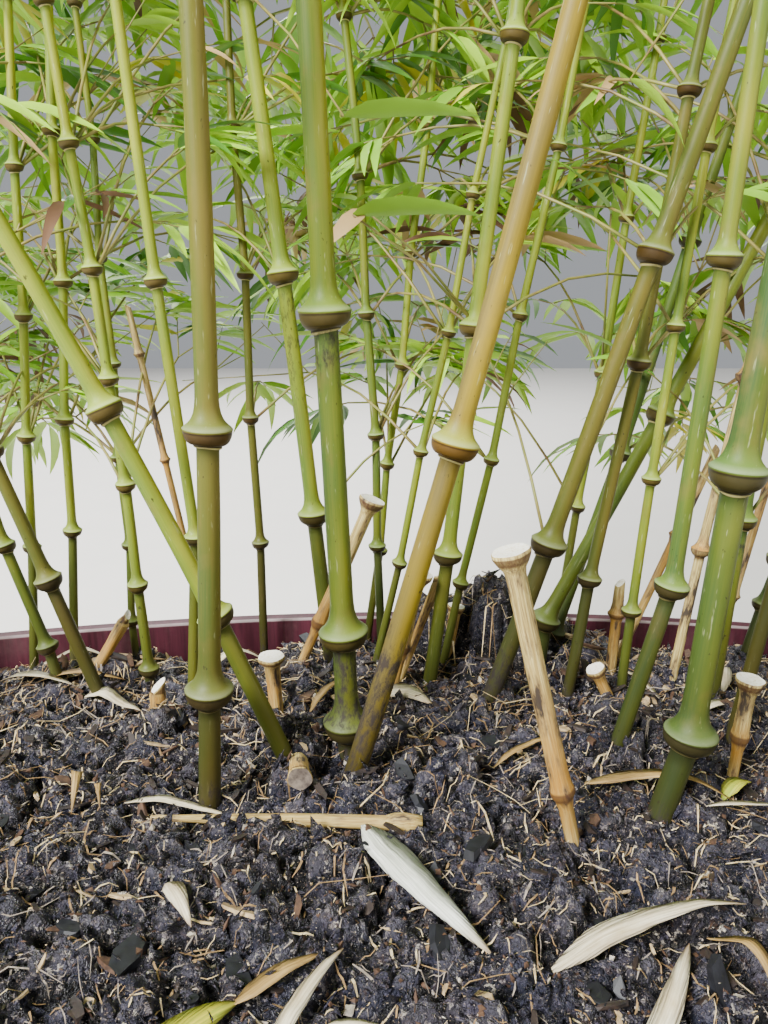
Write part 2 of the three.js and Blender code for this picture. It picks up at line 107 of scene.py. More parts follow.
# How the soil's surface is worked: its narrowest row of points, how many steps round a point its
# level is taken from, the rise that counts as a clod's top, and the bed of a leaf or stick
NARROWEST_ROW = 0.0005
LIFT_STEPS = 4
LIFT_RANGE = 0.006
REST_WIDTH = 0.005

# Litter: how far it stays from the wall, and how far along the trough a straw may reach
SCATTER_GAP = 0.012
STRAW_WALL_GAP = 0.010
STRAW_REACH = 0.408

# The canes' form, as shares of their thickness, and the way they lean and spread
RING_SHARE = 2.05
FLARE_LENGTH = 1.75
TIP_SHARE = 0.25
INTERNODE_GROWTH = 1.06
LONGEST_INTERNODE = 0.210
RINGED_UP_TO = 0.450
UPRIGHTING = 0.25
SPREAD_ALONG = 0.35
SPREAD_ACROSS = 1.5
CLUMP_MIDDLE_Y = 0.065

# One row per cane: name, tone, foot, thickness, lean in degrees, height and its low nodes. Some also
# have a kick at the foot and a sway of their own at the top
CANES = [
    ("cane_front_left", "olive", (-0.130, -0.015), 0.0120, 4, 1.95,
     (0.060, 0.190, 0.375), 0, (-0.18, 0)),
    ("cane_front_middle", "green", (-0.060, 0.030), 0.0140, -2, 2.10, (0.015, 0.070, 0.240, 0.430)),
    ("cane_golden", "golden", (-0.055, 0.007), 0.0125, 16, 1.95, (0.180, 0.385), 0, (-0.15, -0.06)),
    ("cane_front_right", "shade", (0.105, -0.030), 0.0135, 3, 2.05, (0.045, 0.175, 0.335), -0.007),
    ("cane_leaning_left", "pale", (-0.096, 0.020), 0.0105, -21, 1.15,
     (0.085, 0.195, 0.320), 0, (-0.26, -0.06)),
    ("cane_left_low", "olive", (-0.221, 0.083), 0.0090, -17, 1.30, (0.080, 0.160)),
    ("cane_left_edge", "green", (-0.257, 0.105), 0.0075, -13, 1.35, (0.025, 0.095)),
    ("cane_right_upright", "green", (0.107, 0.022), 0.0095, 3, 1.80, (0.100, 0.265), -0.017, (-0.12, 0)),
    ("cane_right_thick", "olive", (0.027, 0.080), 0.0115, 17, 1.95, (0.105, 0.270, 0.450)),
    ("cane_right_sloping", "green", (0.053, 0.127), 0.0105, 26, 1.45, (0.035, 0.175, 0.320), 0.014),
    ("cane_right_dark", "deep", (0.080, 0.150), 0.0080, 15, 1.70, (0.015, 0.145, 0.280, 0.430)),
    ("cane_right_tan", "olive", (0.082, 0.098), 0.0080, 7, 1.75, (0.075, 0.210)),
    ("cane_right_thin", "pale", (0.115, 0.095), 0.0065, 2, 1.40, (0.055, 0.140), 0, (0.15, 0.06)),
    ("cane_right_light", "green", (0.168, 0.080), 0.0090, 2, 1.85, (0.120, 0.260), 0, (0.18, 0.14)),
    ("cane_right_olive", "olive", (0.163, 0.038), 0.0085, 6, 1.65, (0.110, 0.240)),
    ("cane_right_edge", "green", (0.216, 0.140), 0.0075, 12, 1.50, (0.040, 0.130)),
    ("cane_middle", "pale", (-0.010, 0.101), 0.0095, 6, 2.00, (0.090, 0.230, 0.380)),
    ("cane_middle_thin_1", "pale", (-0.046, 0.128), 0.0055, 12, 1.25, (0.075, 0.150, 0.225)),
    ("cane_middle_thin_2", "green", (-0.042, 0.162), 0.0065, -1, 1.50,
     (0.075, 0.155, 0.235), 0, (-0.18, 0)),
    ("cane_middle_thin_3", "pale", (-0.052, 0.182), 0.0060, 7, 1.40, (0.065, 0.130, 0.200)),
    ("cane_middle_thin_4", "pale", (0.001, 0.128), 0.0060, 11, 1.30, (0.060, 0.145)),
    ("cane_back_left", "pale", (-0.078, 0.142), 0.0110, -5, 2.00, (0.105, 0.260, 0.415), 0, (-0.15, 0)),
    ("cane_left_far", "pale", (-0.284, 0.130), 0.0065, 6, 1.50, (0.085, 0.160, 0.235, 0.320)),
    ("cane_left_thin_1", "pale", (-0.258, 0.135), 0.0065, 5, 1.60, (0.095, 0.170, 0.255, 0.340)),
    ("cane_left_thin_2", "pale", (-0.195, 0.102), 0.0070, -1, 1.55,
     (0.010, 0.070, 0.135, 0.200, 0.262), 0, (-0.20, 0)),
    ("cane_left_thin_3", "green", (-0.214, 0.135), 0.0055, 1, 1.25, (0.030, 0.085, 0.145, 0.205)),
    ("cane_left_light", "pale", (-0.140, 0.061), 0.0070, -4, 1.75, (0.115, 0.255), -0.017),
    ("cane_left_brown", "olive", (-0.130, 0.170), 0.0065, 0, 1.60,
     (0.075, 0.165, 0.260, 0.350), 0, (-0.06, 0.04)),
    ("cane_back_right", "pale", (0.090, 0.178), 0.0065, 6, 1.50, (0.100, 0.195)),
    ("cane_dry", "dry", (0.155, 0.112), 0.0070, 6, 0.90, (0.090, 0.200), 0, (0, -0.07)),
]

# Canes at the two ends of the trough, planted in a zigzag by a seeded rule within these ranges
END_CANES = [
    ("left", 41, (-0.325, 0.055), (-0.028, 0.060), 3),
    ("right", 67, (0.250, 0.035), (0.034, 0.062), 4),
]
END_SCATTER = (-0.008, 0.008)
END_THICK = (0.0075, 0.0105)
END_LEAN = (3, 9)
END_FIRST_NODE = (0.040, 0.080)
END_SECOND_NODE = (0.150, 0.170)
END_TALL = (1.40, 1.75)

# Cut-off dead stubs: name, foot, lean, thickness, height of the node, height of the cut, its width
STUBS = [
    ("stub_front", (0.049, -0.052), -14, 0.009, 0.028, 0.145, 0.0165),
    ("stub_long", (-0.098, 0.122), 23, 0.009, 0.034, 0.120, 0.0180),
    ("stub_middle", (-0.034, 0.092), 12, 0.007, 0.030, 0.080, 0.0150),
    ("stub_right", (0.150, 0.006), 2, 0.008, 0.020, 0.054, 0.0150),
]

# Masses of foliage: the cane and height each grows from, where its stem heads (degrees round from
# +X, and up), and its reach
MASSES = [
    ("foliage_top_left", "cane_left_end_1", 1.30, 215, 58, 0.34),
    ("foliage_top_back_left", "cane_back_left", 1.60, 115, 62, 0.35),
    ("foliage_top_front_left", "cane_front_left", 1.60, 235, 62, 0.34),
    ("foliage_top_middle", "cane_front_middle", 1.85, 90, 68, 0.32),
    ("foliage_top_front_right", "cane_front_right", 1.70, 300, 62, 0.34),
    ("foliage_top_back_right", "cane_middle", 1.70, 80, 64, 0.34),
    ("foliage_top_right", "cane_right_thick", 1.60, 20, 58, 0.34),
    ("foliage_left", "cane_left_low", 0.95, 190, 40, 0.33),
    ("foliage_front_left", "cane_left_light", 1.15, 235, 35, 0.32),
    ("foliage_front_middle", "cane_golden", 1.25, 232, 40, 0.32),
    ("foliage_front_right", "cane_right_end_3", 1.15, 315, 40, 0.33),
    ("foliage_back_left", "cane_left_brown", 1.10, 120, 38, 0.32),
    ("foliage_back_middle", "cane_back_right", 1.10, 80, 38, 0.32),
    ("foliage_right", "cane_right_sloping", 1.10, 30, 35, 0.33),
    ("foliage_low_left", "cane_left_thin_3", 0.60, 125, 25, 0.30),
    ("foliage_low_middle", "cane_middle_thin_2", 0.42, 90, 25, 0.27),
    ("foliage_low_right", "cane_right_dark", 0.60, 65, 25, 0.30),
]

# The rule by which a mass of foliage branches
SPRAY_LONG = 0.165
SPRAY_HALF_WIDE = 0.014
SPRAY_WIDEST_AT = 0.38
SPRAY_DROOP = 0.3
SPRAY_ROOT = 0.004
FAN_ANGLES = (-46, 0, 46)
STEM_RADIUS = 0.0028
TWIG_RADIUS = 0.0020
TWIGS_PER_STEM = 9
FIRST_TWIG_AT = 0.22
TWIG_SHARE = 0.62
TWIG_SHORTENING = 0.45
TWIG_SPLAY = 58
LAST_TWIG_SPLAY = 15
TWIG_SCATTER = 50
GOLDEN_ANGLE = 137.5
TRIES = (1, 0.72, 0.48)
STEM_SAG = 0.12
ROOM = 0.002
SPRAY_TESTS = (0.08, 0.2, 0.38, 0.55, 0.7, 0.85, 1)
TWIG_TESTS = (0.2, 0.4, 0.6, 0.8, 1)
LENGTH_SCATTER = (0.85, 1.15)
FEWEST_SPRAYS = 2
MIDDLE_ALONG = 0.55
FIRST_SEED = 101
SEED_STEP = 13


def linear(code):
    """A colour given as sRGB hex, in linear light."""
    channels = [int(code[i:i + 2], 16) / 255 for i in (1, 3, 5)]
    return tuple(c / 12.92 if c <= 0.04045 else ((c + 0.055) / 1.055) ** 2.4 for c in channels)


def rgba(colour):
    """A hex code, a linear colour or a grey value, as a linear colour with full alpha."""
    if isinstance(colour, str):
        colour = linear(colour)
    if isinstance(colour, (int, float)):
        colour = (colour,) * 3
    return (*tuple(colour)[:3], 1)


def seeded(seed):
    """A run of numbers between 0 and 1 that the canes' ends and the foliage are grown by."""
    state = seed

    def roll():
        nonlocal state
        state = state * 16807 % 2147483647
        return state / 2147483647

    return roll


def between(limits, roll):
    """A number between two limits, by a seeded roll."""
    low, high = limits
    return low + (high - low) * roll()


class Cane:
    """The line, thickness and nodes of one cane."""

    def __init__(self, name, tone, foot, thick, lean, tall, nodes, kick=0, sway=(0, 0)):
        self.name = name
        self.tone = tone
        self.foot = foot
        self.thick = thick
        self.lean = math.tan(math.radians(lean))
        self.tall = tall
        self.kick = kick
        self.spread = (
            SPREAD_ALONG * foot[0] + sway[0],
            SPREAD_ACROSS * (foot[1] - CLUMP_MIDDLE_Y) + sway[1],
        )
        self.nodes = self.all_nodes(nodes)

    def all_nodes(self, low_nodes):
        """The low nodes are given, and the ones above follow at slowly growing distances."""
        heights = list(low_nodes)
        internode = heights[-1] - heights[-2]
        while heights[-1] + internode < self.tall - internode / 2:
            internode = min(internode * INTERNODE_GROWTH, LONGEST_INTERNODE)
            heights.append(heights[-1] + internode)
        return heights

    def point(self, height):
        """The middle of the cane at a height over the soil."""
        share = height / self.tall
        leaning = self.lean * (height - UPRIGHTING * height * share)
        aside = self.kick * max(0, 1 - height / self.nodes[0])
        return Vector((
            self.foot[0] + aside + leaning + self.spread[0] * share ** 2,
            self.foot[1] + self.spread[1] * share ** 2,
            SOIL_TOP + CLEARANCE + height,
        ))

    def way(self, height):
        """The direction in which the cane grows at a height."""
        step = 0.002
        return (self.point(height + step) - self.point(height - step)).normalized()

    def radius(self, height):
        """Half the cane's thickness between two nodes."""
        return self.thick / 2 * (1 - (1 - TIP_SHARE) * height / self.tall)


def end_canes():
    """The canes at the trough's two ends, by the same seeded rule as their solids."""
    for side, seed, start, step, count in END_CANES:
        roll = seeded(seed)
        for i in range(count):
            zigzag = (i % 2) * step[1]
            foot = (start[0] + step[0] * i, start[1] + zigzag + between(END_SCATTER, roll))
            thick = between(END_THICK, roll)
            lean = math.copysign(between(END_LEAN, roll), step[0])
            nodes = (between(END_FIRST_NODE, roll), between(END_SECOND_NODE, roll))
            tall = between(END_TALL, roll)
            tone = "green" if roll() < 0.5 else "pale"
            yield Cane(f"cane_{side}_end_{i + 1}", tone, foot, thick, lean, tall, nodes)


ALL_CANES = [Cane(*row) for row in CANES] + list(end_canes())
CANE_BY_NAME = {cane.name: cane for cane in ALL_CANES}


def add(tree, kind, inputs=None, stops=(), **settings):
    """Add a node, set its properties, fill or link its inputs, and set its ramp's stops."""
    node = tree.nodes.new("ShaderNode" + kind)
    for key, value in settings.items():
        setattr(node, key, value)
    for key, value in (inputs or {}).items():
        socket = node.inputs[key]
        if isinstance(value, bpy.types.NodeSocket):
            tree.links.new(value, socket)
        else:
            socket.default_value = rgba(value) if socket.type == "RGBA" else value
    for _ in stops[2:]:
        node.color_ramp.elements.new(0.5)
    for number, (position, value) in enumerate(stops):
        node.color_ramp.elements[number].position = position
        node.color_ramp.elements[number].color = rgba(value)
    return node


def new_material(name):
    """An empty material and its node tree."""
    material = bpy.data.materials.new(name)
    material.use_nodes = True
    material.node_tree.nodes.clear()
    return material, material.node_tree


def finished(material, surface, relief=None, deep=0.0, strength=1.0):
    """End a material with its shader's values and, where it has one, its relief, deep in metres."""
    tree = material.node_tree
    if relief is not None:
        bump = add(tree, "Bump", {"Height": relief, "Distance": deep, "Strength": strength})
        surface = {**surface, "Normal": bump.outputs["Normal"]}
    shader = add(tree, "BsdfPrincipled", surface)
    add(tree, "OutputMaterial", {"Surface": shader.outputs["BSDF"]})
    return material


def per_mm(size):
    """The pattern scale at which one grain is this many millimetres across."""
    return 1000 / size


def mottled(tree, place, size, detail=2, roughness=0.5, squash=(1, 1, 1)):
    """An uneven pattern of this many millimetres, drawn out along the axes whose squash is small."""
    squashed = add(tree, "VectorMath", {0: place, 1: squash}, operation="MULTIPLY").outputs[0]
    return add(tree, "TexNoise", {
        "Vector": squashed, "Scale": per_mm(size), "Detail": detail, "Roughness": roughness,
    }).outputs["Fac"]


def coated(tree, under, over, pattern, *stops, mode="MIX"):
    """Lay a colour over another, as thickly as a pattern says when it has passed the stops."""
    amount = add(tree, "ValToRGB", {"Fac": pattern}, stops).outputs["Color"]
    return add(tree, "Mix", {0: amount, 6: under, 7: over}, data_type="RGBA", blend_type=mode).outputs[2]


# Living culms: base colour, its lighter yellower side and its darker bluer side (partly a real sun-coloured
# side, partly painted light, shade and sky reflection), the cone under a node and its bloom above
CULM_TONES = {
    "green": ("#5f701b", "#828423", "#44622a", "#493e15", "#84a03c"),
    "shade": ("#4a5c18", "#676e1f", "#345228", "#3a3413", "#668638"),
    "pale": ("#7d8d22", "#a3a42d", "#5e7c2c", "#57491b", "#a8bf4a"),
    "deep": ("#4a5f19", "#656e20", "#345126", "#332e12", "#5f7d36"),
    "olive": ("#5e601b", "#756828", "#4b5c22", "#443210", "#7e8a3c"),
    "golden": ("#86731a", "#a08a1e", "#6b5f34", "#5c4210", "#b2be48"),
}
WAX_AND_HIGHLIGHT = "#dde3cc"
SCAR = "#aaa066"
STAIN = "#7d6b34"
SPECK = "#2a2414"
SCRATCH = "#cdd3a0"
FOOT_SHADE_FILM = "#9a947c"
FOOT_SHADE = "#39361f"
MUD = "#2e2726"
MUD_DULL = 0.85
MUD_STOPS = ((0.80, 0), (0.87, 0.35), (0.98, 0.92))


def shaded(colour, share):
    """A darker or lighter version of a linear colour."""
    return tuple(min(1, c * share) for c in colour)


def culm_material(name, tone):
    """Living bamboo culm, grown: a waxy skin, smooth as enamel. One side is lighter and yellower,
    partly a real sun-coloured side and partly painted light; the other is painted darker and bluer
    as shade and sky reflection.

    Above each node it wears a thin pale bloom, and a white band at the ring's top edge that is
    partly wax and partly a painted highlight. The cone under the node is browner, painted darker at
    its foot and lighter up towards the lip, with a painted shade line for a fine rib across it,
    another under the lip, a painted highlight on the lip and the cream scar of the fallen sheath at
    its foot, and the culm is sooty below that. Painted shade darkens its foot, and mud has splashed
    up from the soil.
    """
    base, sun_toned_lit_side, shaded_side, cone_tone, bloom_tone = (linear(code) for code in CULM_TONES[tone])
    material, tree = new_material(name)
    place = add(tree, "Attribute", attribute_name="culm").outputs["Vector"]
    zone = add(tree, "Attribute", attribute_name="zone").outputs["Vector"]
    grime = add(tree, "Attribute", attribute_name="grime").outputs["Fac"]
    flare, cone, mud = add(tree, "SeparateXYZ", {0: zone}).outputs
    fibres = mottled(tree, place, 0.7, 3, squash=(1, 1, 0.02))
    drift = mottled(tree, place, 16, squash=(1, 1, 0.2))
    blotches = mottled(tree, place, 22, 4, 0.62, (1, 1, 0.6))
    specks = mottled(tree, place, 2.4, 2, 0.7, (1, 1, 0.5))
    scratches = mottled(tree, place, 1.6, 2, 0.6, (1, 1, 0.12))
    smears = mottled(tree, place, 4, 5, 0.75, (1, 1, 0.4))
    # The +x side is lighter and yellower (partly real sun colouring, partly painted light); the -x side is
    # painted darker and bluer as shade and sky reflection
    offset = add(tree, "SeparateXYZ", {0: place}).outputs["X"]
    across = add(tree, "MapRange", {
        "Value": offset, "From Min": -0.007, "From Max": 0.007, "To Min": -0.22, "To Max": 0.22,
    }).outputs[0]
    side = add(tree, "Math", {0: across, 1: drift}, operation="ADD").outputs[0]
    colour = add(tree, "ValToRGB", {"Fac": side}, ((0.28, shaded_side), (0.5, base), (0.74, sun_toned_lit_side))).outputs[0]
    colour = coated(tree, colour, sun_toned_lit_side, fibres, (0.42, 0), (0.72, 0.32))
    colour = coated(tree, colour, STAIN, blotches, (0.56, 0), (0.74, 0.6))
    colour = coated(tree, colour, SCRATCH, scratches, (0.66, 0), (0.72, 0.28))
    colour = coated(tree, colour, SPECK, specks, (0.69, 0), (0.74, 0.8))
    colour = coated(tree, colour, shaded(shaded_side, 0.38), cone, (0.0, 0), (0.3, 0.18), (0.55, 0.62))
    colour = coated(tree, colour, bloom_tone, flare, (0.4, 0), (0.72, 0.35), (0.94, 0.75), (1.0, 0.55))
    # White band at the ring's top edge: partly real wax, partly a painted highlight
    colour = coated(tree, colour, WAX_AND_HIGHLIGHT, flare, (0.84, 0), (0.95, 0.17), (1.0, 0.10))
    # The cone: its own browner tone, painted dark at its foot and lighter towards the lip as light falls,
    # painted shade lines in the rib's crease and under the lip, and a painted highlight on the lip
    under = add(tree, "ValToRGB", {"Fac": cone}, (
        (0.0, SCAR), (0.612, SCAR), (0.622, shaded(cone_tone, 0.35)), (0.70, shaded(cone_tone, 0.6)),
        (0.77, shaded(cone_tone, 0.75)), (0.778, shaded(cone_tone, 0.3)),
        (0.79, shaded(cone_tone, 0.85)), (0.935, cone_tone), (0.955, shaded(cone_tone, 0.35)),
        (0.972, shaded(cone_tone, 1.3)), (0.985, shaded(base, 1.1)),
    )).outputs[0]
    colour = coated(tree, colour, under, cone, (0.582, 0), (0.592, 1))
    # Painted shade at the cane's foot, darker towards the soil
    colour = coated(tree, colour, FOOT_SHADE_FILM, grime, (0, 0), (0.3, 0.2), (1, 1), mode="MULTIPLY")
    colour = coated(tree, colour, FOOT_SHADE, grime, (0, 0), (0.3, 0.06), (1, 0.5))
    reach = add(tree, "Math", {0: mud, 1: smears}, operation="ADD").outputs[0]
    colour = coated(tree, colour, MUD, reach, *MUD_STOPS)
    dull = add(tree, "ValToRGB", {"Fac": blotches}, ((0.3, 0.44), (0.75, 0.62))).outputs[0]
    dull = coated(tree, dull, MUD_DULL, reach, *MUD_STOPS)
    surface = {"Base Color": colour, "Roughness": dull, "Specular IOR Level": 0.28}
    return finished(material, surface, fibres, 0.00010, 0.4)


def dead_culm_material(name):
    """Dead bamboo, weathered: dry and matt, straw to amber, with grey-black weather stains."""
    material, tree = new_material(name)
    place = add(tree, "Attribute", attribute_name="culm").outputs["Vector"]
    zone = add(tree, "Attribute", attribute_name="zone").outputs["Vector"]
    amber, cone, _ = add(tree, "SeparateXYZ", {0: zone}).outputs
    fibres = mottled(tree, place, 0.7, 4, 0.6, (1, 1, 0.03))
    stains = mottled(tree, place, 5, 4, 0.65, (1, 1, 0.25))
    straw = ((0.3, "#745e36"), (0.5, "#b09a58"), (0.7, "#d8c888"))
    colour = add(tree, "ValToRGB", {"Fac": fibres}, straw).outputs[0]
    warm = coated(tree, 0, amber, stains, (0.3, 1), (0.7, 0.6))
    colour = coated(tree, colour, "#a8741c", warm, (0, 0), (1, 1))
    colour = coated(tree, colour, "#6a5238", stains, (0.48, 0), (0.60, 0.7))
    colour = coated(tree, colour, "#2a221e", stains, (0.58, 0), (0.65, 0.9))
    colour = coated(tree, colour, "#4a2b14", cone, (0.4, 0), (0.6, 0.85), (0.95, 0.6))
    return finished(material, {"Base Color": colour, "Roughness": 0.7}, fibres, 0.0004, 0.7)


def cut_face_material(name):
    """Sawn bamboo end, cut across: chalky cream pith with short fibres."""
    material, tree = new_material(name)
    place = add(tree, "TexCoord").outputs["Object"]
    fibres = mottled(tree, place, 1.3, 4, 0.65)
    cream = ((0.3, "#cdb98c"), (0.42, "#f5eedb"), (0.7, "#fffdf6"))
    colour = add(tree, "ValToRGB", {"Fac": fibres}, cream).outputs[0]
    return finished(material, {"Base Color": colour, "Roughness": 0.85}, fibres, 0.0005, 0.8)


def leaf_material(name, code, dull):
    """Bamboo leaf, grown: satin and papery, one plain colour that whole sprays are dealt."""
    material, _ = new_material(name)
    return finished(material, {"Base Color": code, "Roughness": dull})


def twig_material(name):
    """Bamboo branchlet, grown: thin and smooth, straw-green with browner joints."""
    material, tree = new_material(name)
    place = add(tree, "TexCoord").outputs["Object"]
    mottle = mottled(tree, place, 18, 3)
    bark = ((0.35, "#737c30"), (0.55, "#8d8442"), (0.7, "#6f5632"))
    colour = add(tree, "ValToRGB", {"Fac": mottle}, bark).outputs[0]
    return finished(material, {"Base Color": colour, "Roughness": 0.5})


def plastic_material(name):
    """Polypropylene, injection moulded: burgundy, satin and dusty. The rim's rounded edges are pale,
    partly scuffed and partly a painted highlight.
    """
    colour = bpy.context.scene.bamboo_pot.colour
    material, tree = new_material(name)
    place = add(tree, "TexCoord").outputs["Object"]
    edge = add(tree, "Attribute", attribute_name="worn").outputs["Fac"]
    drawn = mottled(tree, place, 2.5, 3, squash=(1, 1, 0.05))
    dust = mottled(tree, place, 28, 5, 0.65)
    moulded = ((0.3, shaded(colour, 0.65)), (0.7, shaded(colour, 1.2)))
    body = add(tree, "ValToRGB", {"Fac": drawn}, moulded).outputs[0]
    body = coated(tree, body, "#8f7f78", dust, (0.5, 0), (0.8, 0.14))
    worn = coated(tree, 0, edge, dust, (0.3, 1), (0.7, 0.55))
    # Pale rim edges: partly scuffs, partly a painted highlight
    body = coated(tree, body, "#d6c6c4", worn, (0, 0), (1, 1))
    surface = {"Base Color": body, "Roughness": 0.6, "Specular IOR Level": 0.25}
    return finished(material, surface, drawn, 0.0003, 0.4)


GRANULE_TONES = (
    (0.0, "#0a090c"), (0.36, "#18151b"), (0.54, "#2a262e"), (0.66, "#3c2c22"), (0.71, "#4a4552"),
    (0.79, "#857b76"), (0.87, "#d3c8b6"),
)


def compost_material(name):
    """Composted bark, moist and crumbly: charcoal black with a painted bluish sheen and pale shreds.

    It is made of granules, each of one tone, most of them black and a few brown, grey or cream. Its
    hollows are painted nearly black as shade, its fine relief is painted darker where it dips, and
    the tops of its clods are painted greyer as a highlight.
    """
    material, tree = new_material(name)
    place = add(tree, "TexCoord").outputs["Object"]
    lift = add(tree, "Attribute", attribute_name="lift").outputs["Fac"]
    clods = mottled(tree, place, 11, 4, 0.65)
    painted_sheen = mottled(tree, place, 24, 3, 0.6)
    crumbs = mottled(tree, place, 2.6, 5, 0.75)
    grit = mottled(tree, place, 0.9, 2, 0.7)
    ragged = add(tree, "TexNoise", {"Vector": place, "Scale": per_mm(1.8)}).outputs["Color"]
    torn = add(tree, "Mix", {0: 0.005, 6: place, 7: ragged}, data_type="RGBA").outputs[2]
    granules = add(tree, "TexVoronoi", {"Vector": torn, "Scale": per_mm(2.0)}).outputs
    tones = add(tree, "ValToRGB", {"Fac": granules["Color"]}, GRANULE_TONES)
    tones.color_ramp.interpolation = "CONSTANT"
    colour = coated(tree, tones.outputs[0], "#4a444e", clods, (0.42, 0), (0.66, 0.45))
    # Painted bluish sheen: a reflection of the sky painted into the colour
    colour = coated(tree, colour, "#33374e", painted_sheen, (0.42, 0), (0.64, 0.45))
    # Painted shade where the fine relief dips
    colour = coated(tree, colour, "#050406", crumbs, (0.40, 0.92), (0.48, 0))
    # Painted shade in the hollows, and a painted highlight on the clods' tops
    colour = coated(tree, colour, "#040304", lift, (0.15, 0.92), (0.48, 0))
    colour = coated(tree, colour, "#706c76", lift, (0.62, 0), (0.95, 0.30))
    for squash in ((1, 0.3, 1), (0.3, 1, 1)):
        shreds = mottled(tree, place, 0.9, 2, 0.6, squash)
        colour = coated(tree, colour, "#a3907a", shreds, (0.66, 0), (0.70, 0.8))
        colour = coated(tree, colour, "#e6dcca", shreds, (0.73, 0), (0.76, 1))
    damp = add(tree, "ValToRGB", {"Fac": crumbs}, ((0.35, 0.22), (0.65, 0.58))).outputs[0]
    rounded = add(tree, "ValToRGB", {"Fac": granules["Distance"]}, ((0.1, 1), (0.8, 0))).outputs[0]
    gritty = add(tree, "Mix", {0: 0.35, 6: crumbs, 7: grit}, data_type="RGBA").outputs[2]
    relief = add(tree, "Mix", {0: 0.35, 6: gritty, 7: rounded}, data_type="RGBA").outputs[2]
    return finished(material, {"Base Color": colour, "Roughness": damp}, relief, 0.0042)


# Litter: its darkest and lightest tone, how dull it is, and its mottle's size in millimetres
LITTER = {
    "straw_pale": ("#b09260", "#e8d6a8", 0.8, 4),
    "straw_brown": ("#6b5236", "#a8895c", 0.8, 4),
    "straw_grey": ("#6f6459", "#a89a8a", 0.8, 4),
    "bark_black": ("#15100e", "#33261f", 0.6, 4),
    "bark_brown": ("#32231a", "#5e432e", 0.8, 4),
    "bark_charred": ("#0a0a0c", "#1d1e24", 0.55, 7),
    "wood_chip": ("#8d7350", "#c9b083", 0.8, 4),
    "grit_pale": ("#9a8b74", "#cfc6b4", 0.8, 4),
    "root_end": ("#382e28", "#74675a", 0.8, 4),
}


def litter_material(name, dark, light, dull, size):
    """Dead plant litter, dried: matt, with a fibrous mottle between two tones."""
    material, tree = new_material(name)
    place = add(tree, "TexCoord").outputs["Object"]
    mottle = mottled(tree, place, size, 4, 0.65)
    colour = add(tree, "ValToRGB", {"Fac": mottle}, ((0.32, dark), (0.66, light))).outputs[0]
    return finished(material, {"Base Color": colour, "Roughness": dull}, mottle, 0.0004, 0.6)


def dead_leaf_material(name, dark, light, tip):
    """Dead bamboo leaf, dried: papery, finely ribbed along its length, browner at its tip."""
    material, tree = new_material(name)
    place = add(tree, "Attribute", attribute_name="blade").outputs["Vector"]
    share = add(tree, "SeparateXYZ", {0: place}).outputs["Y"]
    ribs = mottled(tree, place, 0.8, 3, squash=(1, 0, 0.03))
    mottle = mottled(tree, place, 9, 4, 0.6, (1, 0, 0.4))
    colour = add(tree, "ValToRGB", {"Fac": mottle}, ((0.3, dark), (0.65, light))).outputs[0]
    colour = coated(tree, colour, shaded(linear(dark), 0.7), ribs, (0.38, 0), (0.62, 0.6))
    colour = coated(tree, colour, tip, share, (0.82, 0), (1.0, 0.85))
    colour = coated(tree, colour, "#5b4630", mottle, (0.66, 0), (0.72, 0.7))
    return finished(material, {"Base Color": colour, "Roughness": 0.62}, ribs, 0.0006, 0.8)


def floor_material(name):
    """Painted plaster, rolled: pale, matt and even."""
    material, tree = new_material(name)
    place = add(tree, "TexCoord").outputs["Object"]
    base = tuple(bpy.context.scene.bamboo_stage.floor_colour)
    mottle = mottled(tree, place, 120, 3)
    colour = add(tree, "ValToRGB", {"Fac": mottle}, ((0.3, shaded(base, 0.97)), (0.7, base))).outputs[0]
    return finished(material, {"Base Color": colour, "Roughness": 0.85})


def material_named(name, make, *values):
    """The material of this name, made the first time it is asked for."""
    return bpy.data.materials.get(name) or make(name, *values)


def litter(*names):
    """The litter materials of these names."""
    return [material_named(name, litter_material, *LITTER[name]) for name in names]


# Leaf colours, each with its dullness and how far up the deal it reaches
LEAF_TONES = [
    ("fresh", "#a4ce30", 0.45, 0.46),
    ("green", "#80b028", 0.45, 0.76),
    ("deep", "#4e8222", 0.45, 0.87),
    ("yellow", "#d0c83c", 0.5, 0.92),
    ("straw", "#bb9b66", 0.65, 0.965),
    ("brown", "#6b4c33", 0.75, 1.0),
]


def leaf_materials():
    """The leaf colours, in the order in which sprays are dealt them."""
    return [
        material_named(f"bamboo_leaf_{tone}", leaf_material, code, dull)
        for tone, code, dull, _ in LEAF_TONES
    ]


def mesh_piece(name, points, faces, materials, slot, numbers=None, smooth=True, **layers):
    """A mesh object in the shared frame that rides on the plant's one body.

    Each layer holds one number or one vector per vertex, which the materials read by its name.
    """
    mesh = bpy.data.meshes.new(name)
    mesh.from_pydata([tuple(p) for p in np.asarray(points, dtype=float)], [], faces)
    for material in materials:
        mesh.materials.append(material)
    if numbers is not None:
        mesh.polygons.foreach_set("material_index", np.asarray(numbers, dtype=np.int32))
    mesh.polygons.foreach_set("use_smooth", np.full(len(mesh.polygons), smooth))
    mesh.validate()
    mesh.update()
    for layer_name, rows in layers.items():
        values = np.asarray(rows, dtype=np.float32)
        kind, field = ("FLOAT", "value") if values.ndim == 1 else ("FLOAT_VECTOR", "vector")
        layer = mesh.attributes.new(layer_name, kind, "POINT")
        layer.data.foreach_set(field, values.ravel())
    piece = bpy.data.objects.new(name, mesh)
    bpy.context.scene.collection.objects.link(piece)
    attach(piece, BODY)
    return piece


